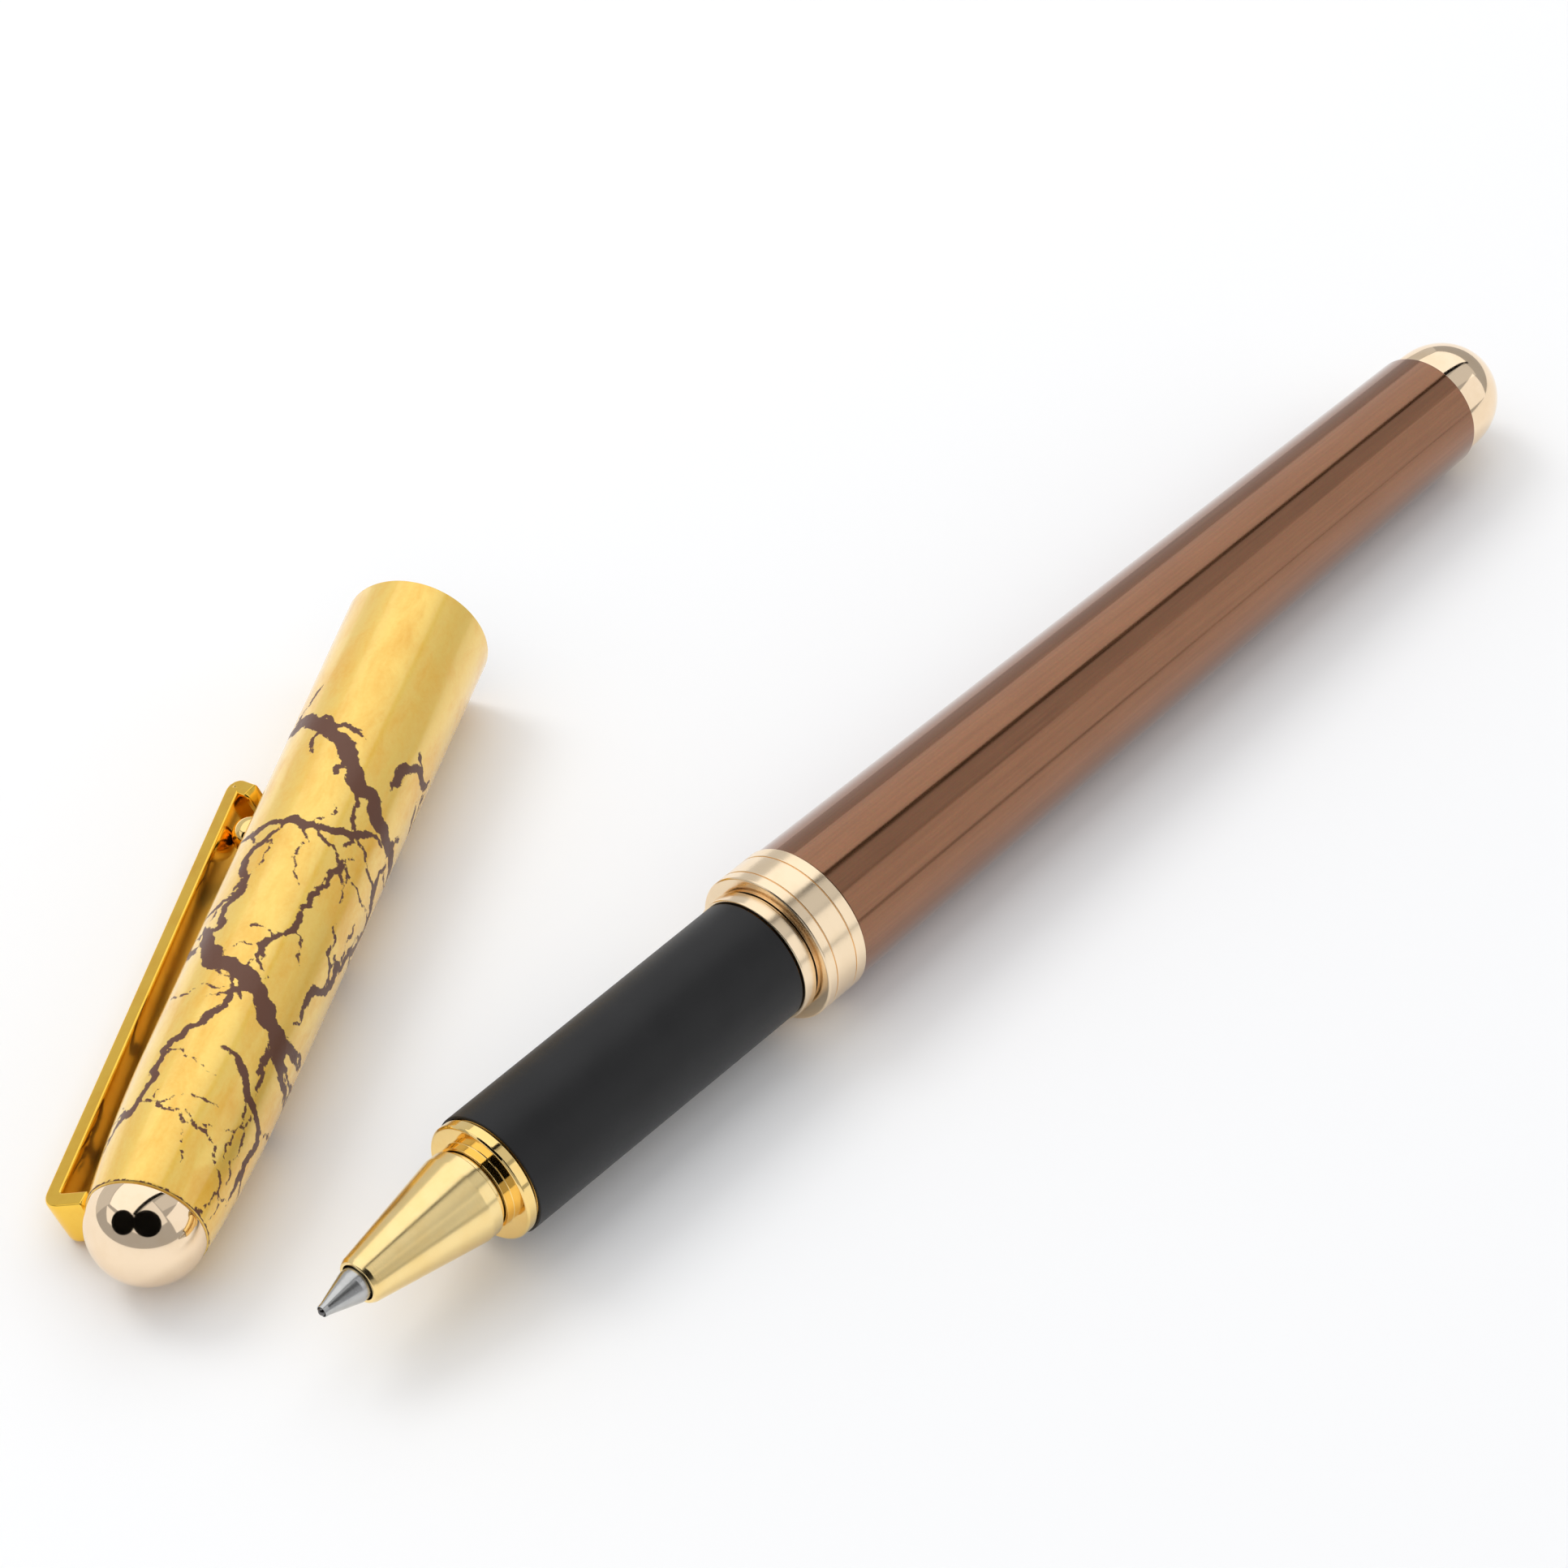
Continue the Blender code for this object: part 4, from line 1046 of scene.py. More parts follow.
    def build_core(self) -> None:
        """The section's core, with the seal's groove and a real helical thread.

        On the threaded stretch the radius drops by
        depth * |2 frac(station / pitch - angle / turn) - 1|, faded in and out over one pitch at
        each end.
        """
        core = self.measure("section_core")
        seal = self.measure("section_o_ring")
        crest = core.end - self.thread_turns * self.thread_pitch
        spread = np.linspace(crest, core.end, self.thread_rows)
        thread = np.stack([spread, np.full(self.thread_rows, core.radius - self.thread_room)], 1)
        floor = seal.bore - self.seal_floor
        groove_start, groove_end = seal.start - self.seal_room, seal.end + self.seal_room
        front, mouth_end = core.start, core.start + self.core_mouth_length
        outline = np.concatenate([
            [(front, core.radius), (groove_start, core.radius), (groove_start, floor),
             (groove_end, floor), (groove_end, core.radius), (crest - 0.02 * MM, core.radius)],
            thread,
            [(core.end, core.bore), (mouth_end, core.bore), (mouth_end, self.core_mouth),
             (front, self.core_mouth)],
        ])

        def groove(station: np.ndarray, radius: np.ndarray, angle: np.ndarray) -> np.ndarray:
            """How much the thread takes off the radius."""
            phase = np.mod(station / self.thread_pitch - angle / TURN, 1.0)
            fade = np.clip((station - crest) / self.thread_pitch, 0.0, 1.0)
            fade *= np.clip((core.end - station) / self.thread_pitch + 0.3, 0.0, 1.0)
            outside = (radius > core.bore + 0.3 * MM) & (station > crest - 0.001 * MM)
            return np.where(outside, -self.thread_depth * np.abs(2 * phase - 1) * fade, 0.0)

        piece = lathe("threaded_core", self.axis, outline, "section", 96, shape=groove)
        self.wardrobe.dress(piece, Finish.BRASS, self.axis, "section_core")

        middle = (seal.start + seal.end) / 2
        half = seal.length / 2
        section = quarter_arc((middle, seal.radius - half), (half, half), 360, 15, 23)
        piece = lathe("seal_ring", self.axis, section, "seal", 128)
        self.wardrobe.dress(piece, Finish.RUBBER, self.axis, "section_o_ring")

    def build_ring(self) -> None:
        """The centre ring: a shoulder for the cap, three bands and two thin grooves."""
        ring = self.measure("centre_ring")
        top = ring.radius
        corners = [(ring.start, top - self.ring_bevel), (ring.start + self.ring_bevel, top)]
        for place in (ring.start + self.front_band,
                      ring.start + self.front_band + self.middle_band):
            half = self.groove_width / 2
            low = half * self.groove_floor_share
            corners += [
                (place - half, top), (place - low, top - self.groove_depth),
                (place + low, top - self.groove_depth), (place + half, top),
            ]
        lip = ring.start + self.recess_depth
        mouth = self.measure("section_collar").radius - self.collar_step + self.recess_room
        room = ring.end_radius - self.ring_wall
        corners += [
            (ring.end, top), (ring.end, room), (lip, room), (lip, mouth), (ring.start, mouth),
        ]
        outline = soften(corners, self.fine_edge, 4)
        piece = lathe("centre_ring_banded", self.axis, outline, "barrel", 256)
        self.wardrobe.dress(piece, Finish.CHAMPAGNE_SATIN, self.axis, "centre_ring")

    def build_barrel(self) -> None:
        """The long tapered tube, cut square at the tail."""
        tube = self.measure("barrel_tube")
        wall = self.barrel_wall
        outline = soften([
            (tube.start, tube.start_radius), (tube.end, tube.end_radius),
            (tube.end, tube.end_radius - wall), (tube.start, tube.start_radius - wall),
        ], self.fine_edge, 5)
        piece = lathe("lacquered_barrel", self.axis, outline, "barrel", 288)
        self.wardrobe.dress(piece, Finish.LACQUER, self.axis, "barrel_tube")

    def build_tail(self) -> None:
        """The tail: a short land, then an ellipse, station = b + h sin t, radius = r cos t."""
        tail = self.measure("tail_dome")
        barrel = self.measure("barrel_tube")
        land_start = barrel.end + self.tail_gap
        base = land_start + self.tail_land
        dome = quarter_arc((base, 0.0), (tail.end - base, tail.radius), 90, 0, 48)
        dome[-1, 1] = 0.0
        stud, bevel = self.tail_stud, self.tail_stud_bevel
        outline = np.concatenate([
            [(tail.start, 0.0), (tail.start, stud - bevel), (tail.start + bevel, stud),
             (land_start, stud), (land_start, tail.radius - 0.06 * MM),
             (land_start + 0.02 * MM, tail.radius - 0.02 * MM),
             (land_start + 0.06 * MM, tail.radius)],
            dome,
        ])
        piece = lathe("domed_tail", self.axis, outline, "barrel", 256, solid=True)
        self.wardrobe.dress(piece, Finish.CHAMPAGNE_POLISH, self.axis, "tail_dome")

    def dress_inside(self) -> None:
        """Finish the CAD nodes that stay as they are, inside the pen."""
        finishes = {
            "barrel_thread_bush": Finish.BRASS,
            "tail_plug": Finish.BRASS,
            "refill_spring": Finish.STEEL,
            "refill_holder": Finish.BLACK_PLASTIC,
            "refill_tube": Finish.WHITE_PLASTIC,
            "refill_end_plug": Finish.BLACK_PLASTIC,
            "ink_reservoir": Finish.FIBRE,
            "ink_wick": Finish.FIBRE,
        }
        for name, finish in finishes.items():
            self.wardrobe.dress(self.nodes[name], finish, self.axis)


# ---------------------------------------------------------------------------------------------
# The cap
# ---------------------------------------------------------------------------------------------


@dataclass(frozen=True)
class Crack:
    """One crack of the leaf: its turning points as (station mm, angle degrees), and its width."""

    points: tuple[tuple[float, float], ...]
    width_mm: float


@dataclass(frozen=True)
class LeafCracks:
    """The torn network that opened when the leaf was stretched.

    Each crack is a polyline whose stretches are halved again and again, each new middle pushed
    sideways by a random share of the stretch. Side cracks leave it at random places.
    """

    girth_mm: float
    seed: int = 11
    trunks: tuple[Crack, ...] = (
        Crack(
            ((43.0, 75), (42.5, 45), (41.0, 12), (38.5, -15), (36.5, -45), (34.5, -75),
             (33.0, -110)),
            1.25,
        ),
        Crack(((43.0, -95), (41.5, -66), (38.0, -54)), 0.7),
        Crack(((31.5, 60), (31.8, 20), (32.0, -25), (34.0, -70)), 0.62),
        Crack(((31.0, -50), (28.0, -36), (24.5, -28), (21.5, -18), (18.5, -6)), 0.42),
        Crack(((31.5, 14), (27.0, 30), (24.0, 34), (20.5, 38)), 0.60),
        Crack(((22.5, 50), (20.0, 33), (18.0, -2), (16.0, -36), (14.5, -58), (12.0, -95)), 1.35),
        Crack(((17.0, -20), (14.5, -2), (12.0, 16), (9.0, 30), (5.5, 36), (3.0, 62)), 0.55),
        Crack(((6.5, 32), (6.0, -8), (4.8, -40), (3.0, -66), (0.5, -75)), 0.16),
        Crack(((11.5, -16), (10.4, -42), (8.8, -66), (6.5, -82), (2.5, -88)), 0.6),
        Crack(((16.5, -62), (21.0, -80), (25.5, -88), (30.0, -96), (34.0, -80)), 0.62),
        Crack(((20.0, 44), (22.0, 90), (18.5, 130), (20.5, 165)), 0.95),
        Crack(((33.0, 70), (37.0, 110), (35.0, 150), (39.0, 200), (37.0, 240)), 1.05),
        Crack(((8.0, 70), (12.0, 110), (9.5, 150), (14.0, 190), (12.0, 235), (13.5, 262)), 1.0),
        Crack(((27.0, 140), (24.0, 175), (28.0, 215), (25.5, 250)), 0.8),
    )
    halvings: int = 6
    sideways: float = 0.25
    twigs_per_mm: float = 0.3
    reach_mm: float = 1.5

    def polylines(self) -> list[tuple[np.ndarray, float]]:
        """Every crack as rows of (station mm, arc mm), with its width."""
        draw = np.random.default_rng(self.seed)
        found = []
        for trunk in self.trunks:
            points = np.array(trunk.points, float)
            points[:, 1] *= self.girth_mm / 360.0
            line = self.roughen(points, draw)
            found.append((line, trunk.width_mm))
            length = np.linalg.norm(np.diff(line, axis=0), axis=1).sum()
            for _ in range(int(length * self.twigs_per_mm) + 1):
                found.append(self.twig(line, trunk.width_mm, draw))
        return found

    def roughen(self, points: np.ndarray, draw: np.random.Generator) -> np.ndarray:
        """Halve every stretch several times, pushing each middle sideways at random."""
        for step in range(self.halvings):
            run = np.diff(points, axis=0)
            sideways = np.stack([-run[:, 1], run[:, 0]], 1)
            push = draw.uniform(-1, 1, (len(run), 1)) * self.sideways * 0.92**step
            middle = (points[:-1] + points[1:]) / 2 + sideways * push
            joined = np.empty((len(points) + len(middle), 2))
            joined[0::2] = points
            joined[1::2] = middle
            points = joined
        return points

    def twig(self, line: np.ndarray, width: float, draw: np.random.Generator
             ) -> tuple[np.ndarray, float]:
        """A side crack that leaves a line at a random place and slope."""
        at = int(draw.integers(4, len(line) - 4))
        run = line[at + 3] - line[at - 3]
        heading = math.atan2(run[1], run[0]) + draw.choice([-1, 1]) * draw.uniform(0.5, 1.1)
        length = draw.uniform(1.2, 6.0)
        end = line[at] + length * np.array([math.cos(heading), math.sin(heading)])
        bend = (line[at] + end) / 2 + draw.uniform(-0.4, 0.4, 2)
        return self.roughen(np.stack([line[at], bend, end]), draw), width * draw.uniform(0.12, 0.42)

    def distance(self, station_mm: np.ndarray, arc_mm: np.ndarray) -> np.ndarray:
        """How far each place is from the nearest crack's edge, negative inside it.

        Args:
            station_mm: Stations along the cap.
            arc_mm: Places round it, from 0 to its girth.

        Returns:
            The least over all stretches of (distance to the stretch - half its width), in mm,
            and no more than the reach.
        """
        draw = np.random.default_rng(self.seed + 1)
        starts, ends, halves = [], [], []
        for line, width in self.polylines():
            count = len(line) - 1
            share = (np.arange(count) + 0.5) / count
            taper = np.minimum(1.0, 6 * np.minimum(share, 1 - share)) ** 0.6
            swell = 0.85 + 0.15 * np.sin(share * count * 0.11 + draw.uniform(0, TURN))
            ragged = draw.uniform(0.75, 1.15, count)
            for lap in (-self.girth_mm, 0.0, self.girth_mm):
                starts.append(line[:-1] + [0.0, lap])
                ends.append(line[1:] + [0.0, lap])
                halves.append(width / 2 * taper * swell * ragged)
        start, end = np.concatenate(starts), np.concatenate(ends)
        half = np.concatenate(halves)
        near = (start[:, 1] > -3.0) & (start[:, 1] < self.girth_mm + 3.0)
        start, run, half = start[near], (end - start)[near], half[near]
        square = np.maximum((run**2).sum(axis=1), 1e-9)
        low = start[:, 0] + np.minimum(run[:, 0], 0.0) - half - self.reach_mm
        high = start[:, 0] + np.maximum(run[:, 0], 0.0) + half + self.reach_mm
        places = np.stack([station_mm, arc_mm], -1)
        found = np.full(len(places), self.reach_mm)
        for block in np.array_split(np.arange(len(places)), max(1, len(places) // 1000)):
            some = (high > station_mm[block].min()) & (low < station_mm[block].max())
            if some.any():
                away = places[block, None] - start[None, some]
                share = np.clip((away * run[some]).sum(-1) / square[some], 0.0, 1.0)
                gap = np.linalg.norm(away - share[..., None] * run[some], axis=-1) - half[some]
                found[block] = np.minimum(gap.min(axis=1), self.reach_mm)
        return found


@dataclass
class Cap:
    """The cap: leafed tube, finial, inner sleeves and clip."""

    nodes: dict[str, bpy.types.Object]
    axis: TurningAxis
    clip_angle: float
    wardrobe: Wardrobe
    wall: float = 0.38 * MM
    taper: float = 0.57 * MM
    closing_length: float = 12.0 * MM
    # How far short of the finial's end the leaf stops, leaving a thin dark brown line at the joint.
    bare_end_mm: float = 0.06
    leaf_grid: float = 0.19 * MM
    clip_thickness: float = 1.25 * MM
    clip_root_width: float = 3.5 * MM
    clip_end_width: float = 3.0 * MM
    # Tube.
    rim_length: float = 0.09 * MM
    rim_edge: float = 0.08 * MM
    end_wall: float = 0.45 * MM
    bore_start: float = 0.6 * MM
    # Finial.
    finial_gap: float = 0.10 * MM
    boss_radius: float = 2.9 * MM
    stud_hole: float = 1.3 * MM
    stud_hole_depth: float = 2.3 * MM
    # Sleeves.
    sleeve_edge: float = 0.12 * MM
    cup_bore: float = 3.6 * MM
    cup_floor: float = 1.3 * MM
    cup_edge: float = 0.15 * MM
    # Clip, measured from the tube's end and from the height where its bend starts.
    clip_shoulder: float = 0.565 * MM
    clip_foot: tuple[float, float] = (1.30 * MM, -0.34 * MM)
    clip_heel: float = 1.40 * MM
    clip_root_height: float = 2.98 * MM
    clip_gap: float = 0.42 * MM
    clip_end_height: float = 4.28 * MM
    clip_reach: float = 41.7 * MM
    clip_toe: float = 0.55 * MM
    clip_lip: tuple[float, float] = (1.45 * MM, 1.65 * MM)
    clip_bend: float = 0.8 * MM
    clip_power: int = 9
    clip_rings: int = 420
    clip_sides: int = 72

    def measure(self, name: str) -> Extent:
        """The extent of one of the cap's nodes."""
        return self.axis.extent(self.nodes[name])

    def build(self) -> None:
        """Build and dress every piece."""
        self.build_tube()
        self.build_finial()
        self.build_sleeves()
        self.build_clip()
        self.build_bead()
        for name, finish in {"cap_end_bush": Finish.BRASS, "finial_stud": Finish.STEEL}.items():
            self.wardrobe.dress(self.nodes[name], finish, self.axis)

    def skin_radius(self, station: np.ndarray) -> np.ndarray:
        """The tube's outer radius: a cone, less drop * (1 - s / length)^2 where it closes in.

        Args:
            station: Places along the cap's axis.

        Returns:
            The radius at each place.
        """
        tube = self.measure("cap_tube")
        small = tube.end_radius - self.taper
        away = station - tube.start
        closing = np.clip(1 - away / self.closing_length, 0.0, 1.0)
        return small + self.taper * away / tube.length - (small - tube.start_radius) * closing**2

    def build_tube(self) -> None:
        """The leafed tube, with the distance to the nearest crack kept at every vertex.

        The leaf also stops short of the finial's end, leaving a thin dark brown line at the joint,
        so its attribute there is the lesser of that distance and station - bare end.
        """
        tube = self.measure("cap_tube")
        mouth = tube.end_radius
        count = int(tube.length / self.leaf_grid)
        run = np.linspace(tube.start, tube.end - self.rim_length, count)
        skin = np.stack([run, self.skin_radius(run)], 1)
        rim = soften([
            (run[-1], mouth), (tube.end, mouth), (tube.end, mouth - self.wall),
            (run[-1], mouth - self.wall),
        ], self.rim_edge, 5, closed=False)[1:-1]
        floor = tube.start + self.end_wall
        back = np.linspace(tube.end - self.bore_start, floor, 24)
        inside = np.stack([back, self.skin_radius(back) - self.wall], 1)
        outline = np.concatenate([skin, rim, inside, [(floor, tube.bore), (tube.start, tube.bore)]])
        sides = int(TURN * mouth / self.leaf_grid)
        piece = lathe("leafed_cap_tube", self.axis, outline, "cap", sides)
        leaf_rows = len(skin) + len(rim) // 2
        girth = TURN * (mouth - self.taper / 2) / MM
        station = np.repeat(outline[:leaf_rows, :1] - tube.start, sides, axis=1) / MM
        arc = np.repeat((np.arange(sides) / sides * girth)[None], leaf_rows, axis=0)
        crack = np.full(len(piece.data.vertices), 9.0, np.float32)
        found = LeafCracks(girth).distance(station.reshape(-1), arc.reshape(-1))
        # Near the finial's end the leaf is left off, so a thin dark brown line shows at the joint.
        crack[: leaf_rows * sides] = np.minimum(found, station.reshape(-1) - self.bare_end_mm)
        piece.data.attributes.new("crack", "FLOAT", "POINT").data.foreach_set("value", crack)
        self.wardrobe.dress(piece, Finish.LEAF, self.axis, "cap_tube")

    def build_finial(self) -> None:
        """The domed finial: half a ball, station = b - r sin t, radius = r cos t, with its boss."""
        dome = self.measure("finial_dome")
        tube = self.measure("cap_tube")
        base = tube.start - self.finial_gap
        seat = base - self.stud_hole_depth
        ball = quarter_arc((base, 0.0), (base - dome.start, dome.radius), 180, 90, 56)
        ball[0, 1] = 0.0
        outline = np.concatenate([
            ball,
            [(base, dome.radius - 0.02 * MM), (base, self.boss_radius),
             (dome.end, self.boss_radius), (dome.end, self.stud_hole),
             (seat, self.stud_hole), (seat, 0.0)],
        ])
        piece = lathe("finial_polished", self.axis, outline, "cap", 256, solid=True)
        self.wardrobe.dress(piece, Finish.CHAMPAGNE_POLISH, self.axis, "finial_dome")

    def build_sleeves(self) -> None:
        """The snap sleeve near the mouth and the inner cap deeper in, seen through the mouth."""
        sleeve = self.measure("cap_snap_sleeve")
        outline = soften([
            (sleeve.start, sleeve.start_radius), (sleeve.end, sleeve.end_radius),
            (sleeve.end, sleeve.bore), (sleeve.start, sleeve.bore),
        ], self.sleeve_edge, 5)
        piece = lathe("snap_sleeve", self.axis, outline, "cap", 192)
        self.wardrobe.dress(piece, Finish.BLACK_PLASTIC, self.axis, "cap_snap_sleeve")

        inner = self.measure("inner_cap")
        bore = self.cup_bore
        floor = inner.start + self.cup_floor
        walls = soften([
            (inner.start, 0.0), (inner.start, inner.start_radius), (inner.end, inner.end_radius),
            (inner.end, bore), (floor, bore), (floor, 0.0),
        ], self.cup_edge, 5, closed=False)
        piece = lathe("inner_cap_cup", self.axis, walls, "cap", 160, solid=True)
        self.wardrobe.dress(piece, Finish.BLACK_PLASTIC, self.axis, "inner_cap")

    def clip_path(self) -> np.ndarray:
        """The middle of the bent strip as rows of (station, out), from its root to its lip."""
        tube = self.measure("cap_tube")
        shoulder = tube.end_radius - self.clip_shoulder
        half = self.clip_thickness / 2
        back_root = shoulder + self.clip_root_height - half
        end = tube.start + self.clip_reach
        back_end = shoulder + self.clip_gap + self.clip_end_height - half
        corners = [
            (tube.start + self.clip_foot[0], shoulder + self.clip_foot[1]),
            (tube.start + self.clip_heel, back_root),
            (end - self.clip_toe, back_end),
            (end - self.clip_lip[0], back_end - self.clip_lip[1]),
        ]
        return soften(corners, self.clip_bend, 14, closed=False)

    def build_clip(self) -> None:
        """The clip: a rounded flat bar carried along its bent path.

        At each place on the path the section is |across / a|^n + |thick / b|^n = 1, where n is
        the clip's power, 2 a its width there and 2 b its thickness.
        """
        path = self.clip_path()
        run = np.concatenate([[0.0], np.cumsum(np.linalg.norm(np.diff(path, axis=0), axis=1))])
        fine = np.linspace(0.0, run[-1], self.clip_rings)
        line = np.stack([np.interp(fine, run, path[:, i]) for i in (0, 1)], 1)
        share = fine / run[-1]
        ahead = np.gradient(line, axis=0)
        ahead /= np.linalg.norm(ahead, axis=1, keepdims=True)
        thickwise = np.stack([-ahead[:, 1], ahead[:, 0]], 1)
        width = self.clip_root_width + (self.clip_end_width - self.clip_root_width) * share
        angle = (np.arange(self.clip_sides) + 0.5) * TURN / self.clip_sides
        power = 2 / self.clip_power
        across = np.sign(np.cos(angle)) * np.abs(np.cos(angle)) ** power
        deep = np.sign(np.sin(angle)) * np.abs(np.sin(angle)) ** power
        lift = (deep * self.clip_thickness / 2)[None, :, None]
        out = line[:, None, :] + thickwise[:, None, :] * lift
        turn = self.clip_angle
        outwards = math.cos(turn) * self.axis.up + math.sin(turn) * self.axis.side
        crosswise = np.cross(self.axis.along, outwards)
        points = (
            self.axis.origin
            + out[..., :1] * self.axis.along
            + out[..., 1:] * outwards
            + (across[None] * width[:, None] / 2)[..., None] * crosswise
        )
        piece = sweep("sprung_clip", points, "clip")
        self.wardrobe.dress(piece, Finish.CLIP_GOLD, self.axis, "clip")

    def build_bead(self) -> None:
        """The bead under the clip's free end, a ball."""
        points = corners_of(self.nodes["clip_bead"])
        centre = middle_of(points)
        radius = float(np.linalg.norm(points - centre, axis=1).max())
        axis = TurningAxis.through(centre, self.axis.along)
        sphere = quarter_arc((0.0, 0.0), (radius, radius), 180, 0, 48)
        sphere[[0, -1], 1] = 0.0
        piece = lathe("clip_bead_polished", axis, sphere, "clip", 96, solid=True)
        self.wardrobe.dress(piece, Finish.YELLOW_GOLD, self.axis, "clip_bead")


# ---------------------------------------------------------------------------------------------
# The studio
# ---------------------------------------------------------------------------------------------


Place = tuple[float, float, float]
LampSizes = tuple[str, Place, Place, tuple[float, float], float]


def facing(centre: Place, target: Place) -> Matrix:
    """Stand a panel at its centre with its back to the line away from its target.

    Args:
        centre: The panel's middle.
        target: The point that it faces, down its own -Z.

    Returns:
        The panel's place, with its own X as near the world's X as it can be.
    """
    away = unit(np.array(centre) - np.array(target))
    across = unit(np.array([1.0, 0.0, 0.0]) - away * away[0])
    third = np.cross(away, across)
    return Matrix([
        [across[i], third[i], away[i], centre[i]] for i in range(3)
    ] + [[0, 0, 0, 1]])


@dataclass(frozen=True)
class Flag:
    """A studio flag: a matt black panel that only reflections see."""

    name: str
    centre: Place
    target: Place
    size: tuple[float, float]
    corners: int = 4

    def build(self) -> None:
        """Hang the panel; four corners make a rectangle, more a disc.

        A corner is reach * (width cos a, height sin a), and reach makes a rectangle full size.
        """
        angle = (np.arange(self.corners) + 0.5) * TURN / self.corners
        reach = 0.5 * math.sqrt(2) if self.corners == 4 else 0.5
        rim = np.stack([np.cos(angle) * self.size[0], np.sin(angle) * self.size[1], angle * 0], 1)
        mesh = bpy.data.meshes.new(self.name)
        mesh.from_pydata((rim * reach).tolist(), [], [tuple(range(self.corners))])
        material, _, shader = blank_material("black_flag_cloth")
        shader.inputs["Base Color"].default_value = linear("#050505")
        shader.inputs["Roughness"].default_value = 1.0
        shader.inputs["Specular IOR Level"].default_value = 0.0
        mesh.materials.append(material)
        panel = bpy.data.objects.new(self.name, mesh)
        panel.matrix_world = facing(self.centre, self.target)
        panel.visible_camera = False
        panel.visible_diffuse = False
        panel.visible_shadow = False
        bpy.context.scene.collection.objects.link(panel)


@dataclass(frozen=True)
class Softbox:
    """A rectangular lamp that faces a point, given by its radiance, not by its power."""

    name: str
    centre: Place
    target: Place
    size: tuple[float, float]
    radiance: float
    colour: str = "#ffffff"
    glossy: bool = True

    def build(self) -> None:
        """Hang the lamp; power = radiance * pi * area."""
        lamp = bpy.data.lights.new(self.name, "AREA")
        lamp.shape = "RECTANGLE"
        lamp.size, lamp.size_y = self.size
        lamp.energy = self.radiance * math.pi * self.size[0] * self.size[1]
        lamp.color = linear(self.colour)[:3]
        obj = bpy.data.objects.new(self.name, lamp)
        obj.matrix_world = facing(self.centre, self.target)
        obj.visible_camera = False
        obj.visible_glossy = self.glossy
        bpy.context.scene.collection.objects.link(obj)


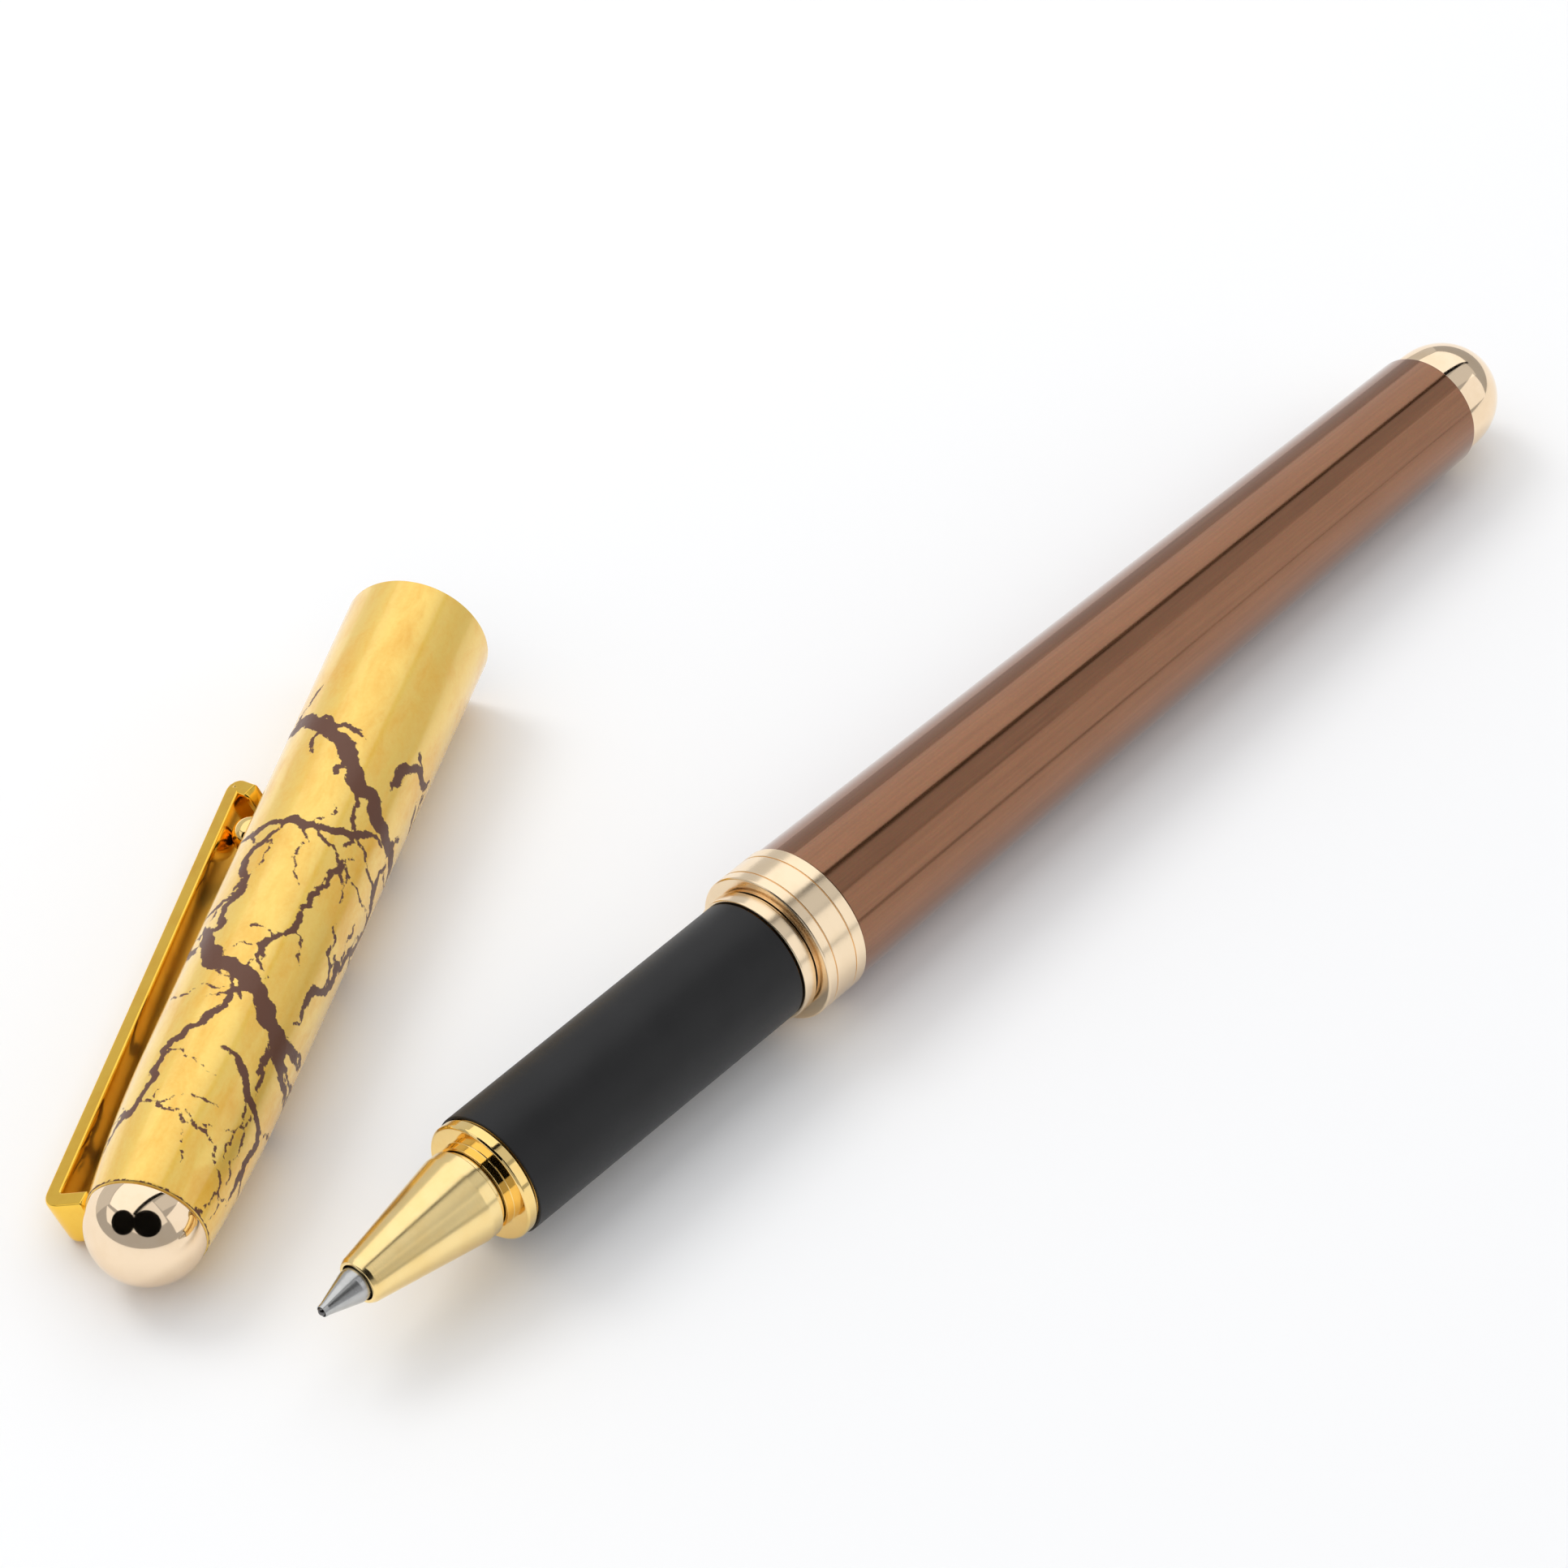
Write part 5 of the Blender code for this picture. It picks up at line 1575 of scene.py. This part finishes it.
@dataclass(frozen=True)
class Studio:
    """A pale floor, softboxes all round it, black flags for the reflections, and the camera.

    Each lamp is given as (name, centre, target, size, radiance). The soft lamps show in
    reflections. The hidden ones light only matt surfaces. A round flag is given as (name, degrees
    round from the camera, width).
    """

    focus: Place = (-0.88 * MM, -6.08 * MM, 0.0)
    azimuth_deg: float = -49.29
    elevation_deg: float = 43.56
    distance: float = 312.8 * MM
    lens_mm: float = 101.01
    sensor_mm: float = 36.0
    floor_size: float = 6.0
    floor_colour: str = "#fbfbfa"
    world_colour: str = "#f6f7fb"
    world_strength: float = 0.45
    soft_lamps: tuple[LampSizes, ...] = (
        ("tent_top", (0.30, 0.43, 0.62), (0.30, 0.43, 0.0), (1.8, 0.94), 0.72),
        ("tent_back", (0.30, 0.92, 0.30), (0.30, 0.0, 0.30), (1.8, 0.60), 0.20),
        ("front_high", (0.42, -0.25, 0.56), (0.05, 0.0, 0.0), (0.75, 0.30), 0.22),
        ("front_low", (0.42, -0.60, 0.30), (0.05, 0.0, 0.0), (0.75, 0.52), 0.55),
        ("left_front", (-0.50, -0.45, 0.56), (-0.50, -0.45, 0.0), (1.08, 0.70), 0.42),
        ("left_back", (-1.00, 0.43, 0.50), (-1.00, 0.43, 0.0), (0.80, 0.94), 0.55),
    )
    hidden_lamps: tuple[LampSizes, ...] = (
        ("fill", (0.0, 0.0, 1.5), (0.0, 0.0, 0.0), (3.0, 3.0), 0.15),
        ("key", (-0.16, 1.0, 1.28), (0.0, 0.0, 0.0), (0.60, 0.60), 4.0),
    )
    slit: Flag = Flag("slit", (0.40, -0.049, 0.56), (0.40, -0.049, 0.0), (1.6, 0.062))
    round_flags: tuple[tuple[str, float, float], ...] = (
        ("lens", -2.0, 0.40), ("operator", 38.0, 0.32),
    )
    round_flag_distance: float = 0.45
    round_flag_corners: int = 40

    def build(self) -> None:
        """Lay the floor, hang the lamps and set the camera, with plain sRGB tones."""
        bpy.context.scene.view_settings.view_transform = "Standard"
        self.lay_floor()
        self.light()
        self.aim_camera()

    def lay_floor(self) -> None:
        """A large matt floor just under the pen."""
        half = self.floor_size / 2
        mesh = bpy.data.meshes.new("floor")
        corners = [(-half, -half, 0), (half, -half, 0), (half, half, 0), (-half, half, 0)]
        mesh.from_pydata(corners, [], [(0, 1, 2, 3)])
        material, tree, shader = blank_material("matt_white_board")
        place = add(tree, "ShaderNodeTexCoord")
        mottle = add(
            tree, "ShaderNodeTexNoise", {"Vector": place.outputs["Object"], "Scale": 6.0},
        )
        colour = add(
            tree, "ShaderNodeMix",
            {0: mottle.outputs["Fac"], 6: linear(self.floor_colour), 7: linear("#f8f8f8")},
            data_type="RGBA",
        )
        tree.links.new(colour.outputs[2], shader.inputs["Base Color"])
        shader.inputs["Roughness"].default_value = 0.9
        shader.inputs["Specular IOR Level"].default_value = 0.1
        mesh.materials.append(material)
        floor = bpy.data.objects.new("floor", mesh)
        bpy.context.scene.collection.objects.link(floor)

    def light(self) -> None:
        """Hang the softboxes, the hidden lamps and the flags, in a dim pale room."""
        world = bpy.data.worlds.new("studio_room")
        world.use_nodes = True
        background = world.node_tree.nodes["Background"]
        background.inputs["Color"].default_value = linear(self.world_colour)
        background.inputs["Strength"].default_value = self.world_strength
        bpy.context.scene.world = world
        for lamp in self.soft_lamps:
            Softbox(*lamp).build()
        for lamp in self.hidden_lamps:
            Softbox(*lamp, glossy=False).build()
        self.slit.build()
        self.hang_lens_flags()

    def hang_lens_flags(self) -> None:
        """Hang round flags where the camera and its operator stand, for the domes to mirror."""
        focus = np.array(self.focus)
        back = self.backwards()
        left = unit(np.cross(-WORLD_UP, back))
        for name, turn_deg, span in self.round_flags:
            turn = math.radians(turn_deg)
            heading = math.cos(turn) * back + math.sin(turn) * left
            centre = tuple(focus + self.round_flag_distance * heading)
            Flag(name, centre, self.focus, (span, span), self.round_flag_corners).build()

    def backwards(self) -> np.ndarray:
        """The direction from the focus to the camera."""
        azimuth, elevation = math.radians(self.azimuth_deg), math.radians(self.elevation_deg)
        return np.array([
            math.sin(azimuth) * math.cos(elevation),
            -math.cos(azimuth) * math.cos(elevation),
            math.sin(elevation),
        ])

    def aim_camera(self) -> None:
        """Stand the camera at its azimuth, elevation and distance from the focus."""
        back = self.backwards()
        right = unit(np.cross(-back, WORLD_UP))
        up = np.cross(right, -back)
        place = np.array(self.focus) + back * self.distance
        camera = bpy.data.cameras.new("camera")
        camera.lens = self.lens_mm
        camera.sensor_width = self.sensor_mm
        camera.clip_start = 0.01
        camera.clip_end = 50.0
        obj = bpy.data.objects.new("camera", camera)
        obj.matrix_world = Matrix(
            [[right[i], up[i], back[i], place[i]] for i in range(3)] + [[0, 0, 0, 1]]
        )
        bpy.context.scene.collection.objects.link(obj)
        bpy.context.scene.camera = obj


def main() -> None:
    """Load the frame, build the pen, the cap and the studio."""
    logging.basicConfig(level=logging.INFO, format="%(name)s: %(message)s")
    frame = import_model()
    joints = {joint["name"]: joint for joint in frame["joints"]}
    mounts = {mount["name"]: mount for mount in frame["record"]["mounts"]}
    nodes = frame["nodes"]

    thread = joints["section_unscrew"]
    pen_axis = TurningAxis.through(thread["pos_m"], -np.array(thread["axis"]))
    tip = pen_axis.extent(nodes["writing_ball"])
    pen_axis = pen_axis.moved(tip.start)

    mouth = mounts["cap_mouth_rim"]
    heading = unit(mouth["axis"])
    hub = corners_of(nodes["finial_stud"])
    cap_axis = TurningAxis.through(hub[0], heading).centred(hub)
    cap_axis = cap_axis.moved(cap_axis.extent(nodes["cap_tube"]).start)
    away = middle_of(corners_of(nodes["clip_bead"])) - cap_axis.origin
    clip_angle = math.atan2(float(away @ cap_axis.side), float(away @ cap_axis.up))

    wardrobe = Wardrobe()
    Pen(nodes, pen_axis, wardrobe).build()
    Cap(nodes, cap_axis, clip_angle, wardrobe).build()
    Studio().build()


if __name__ == "__main__":
    main()
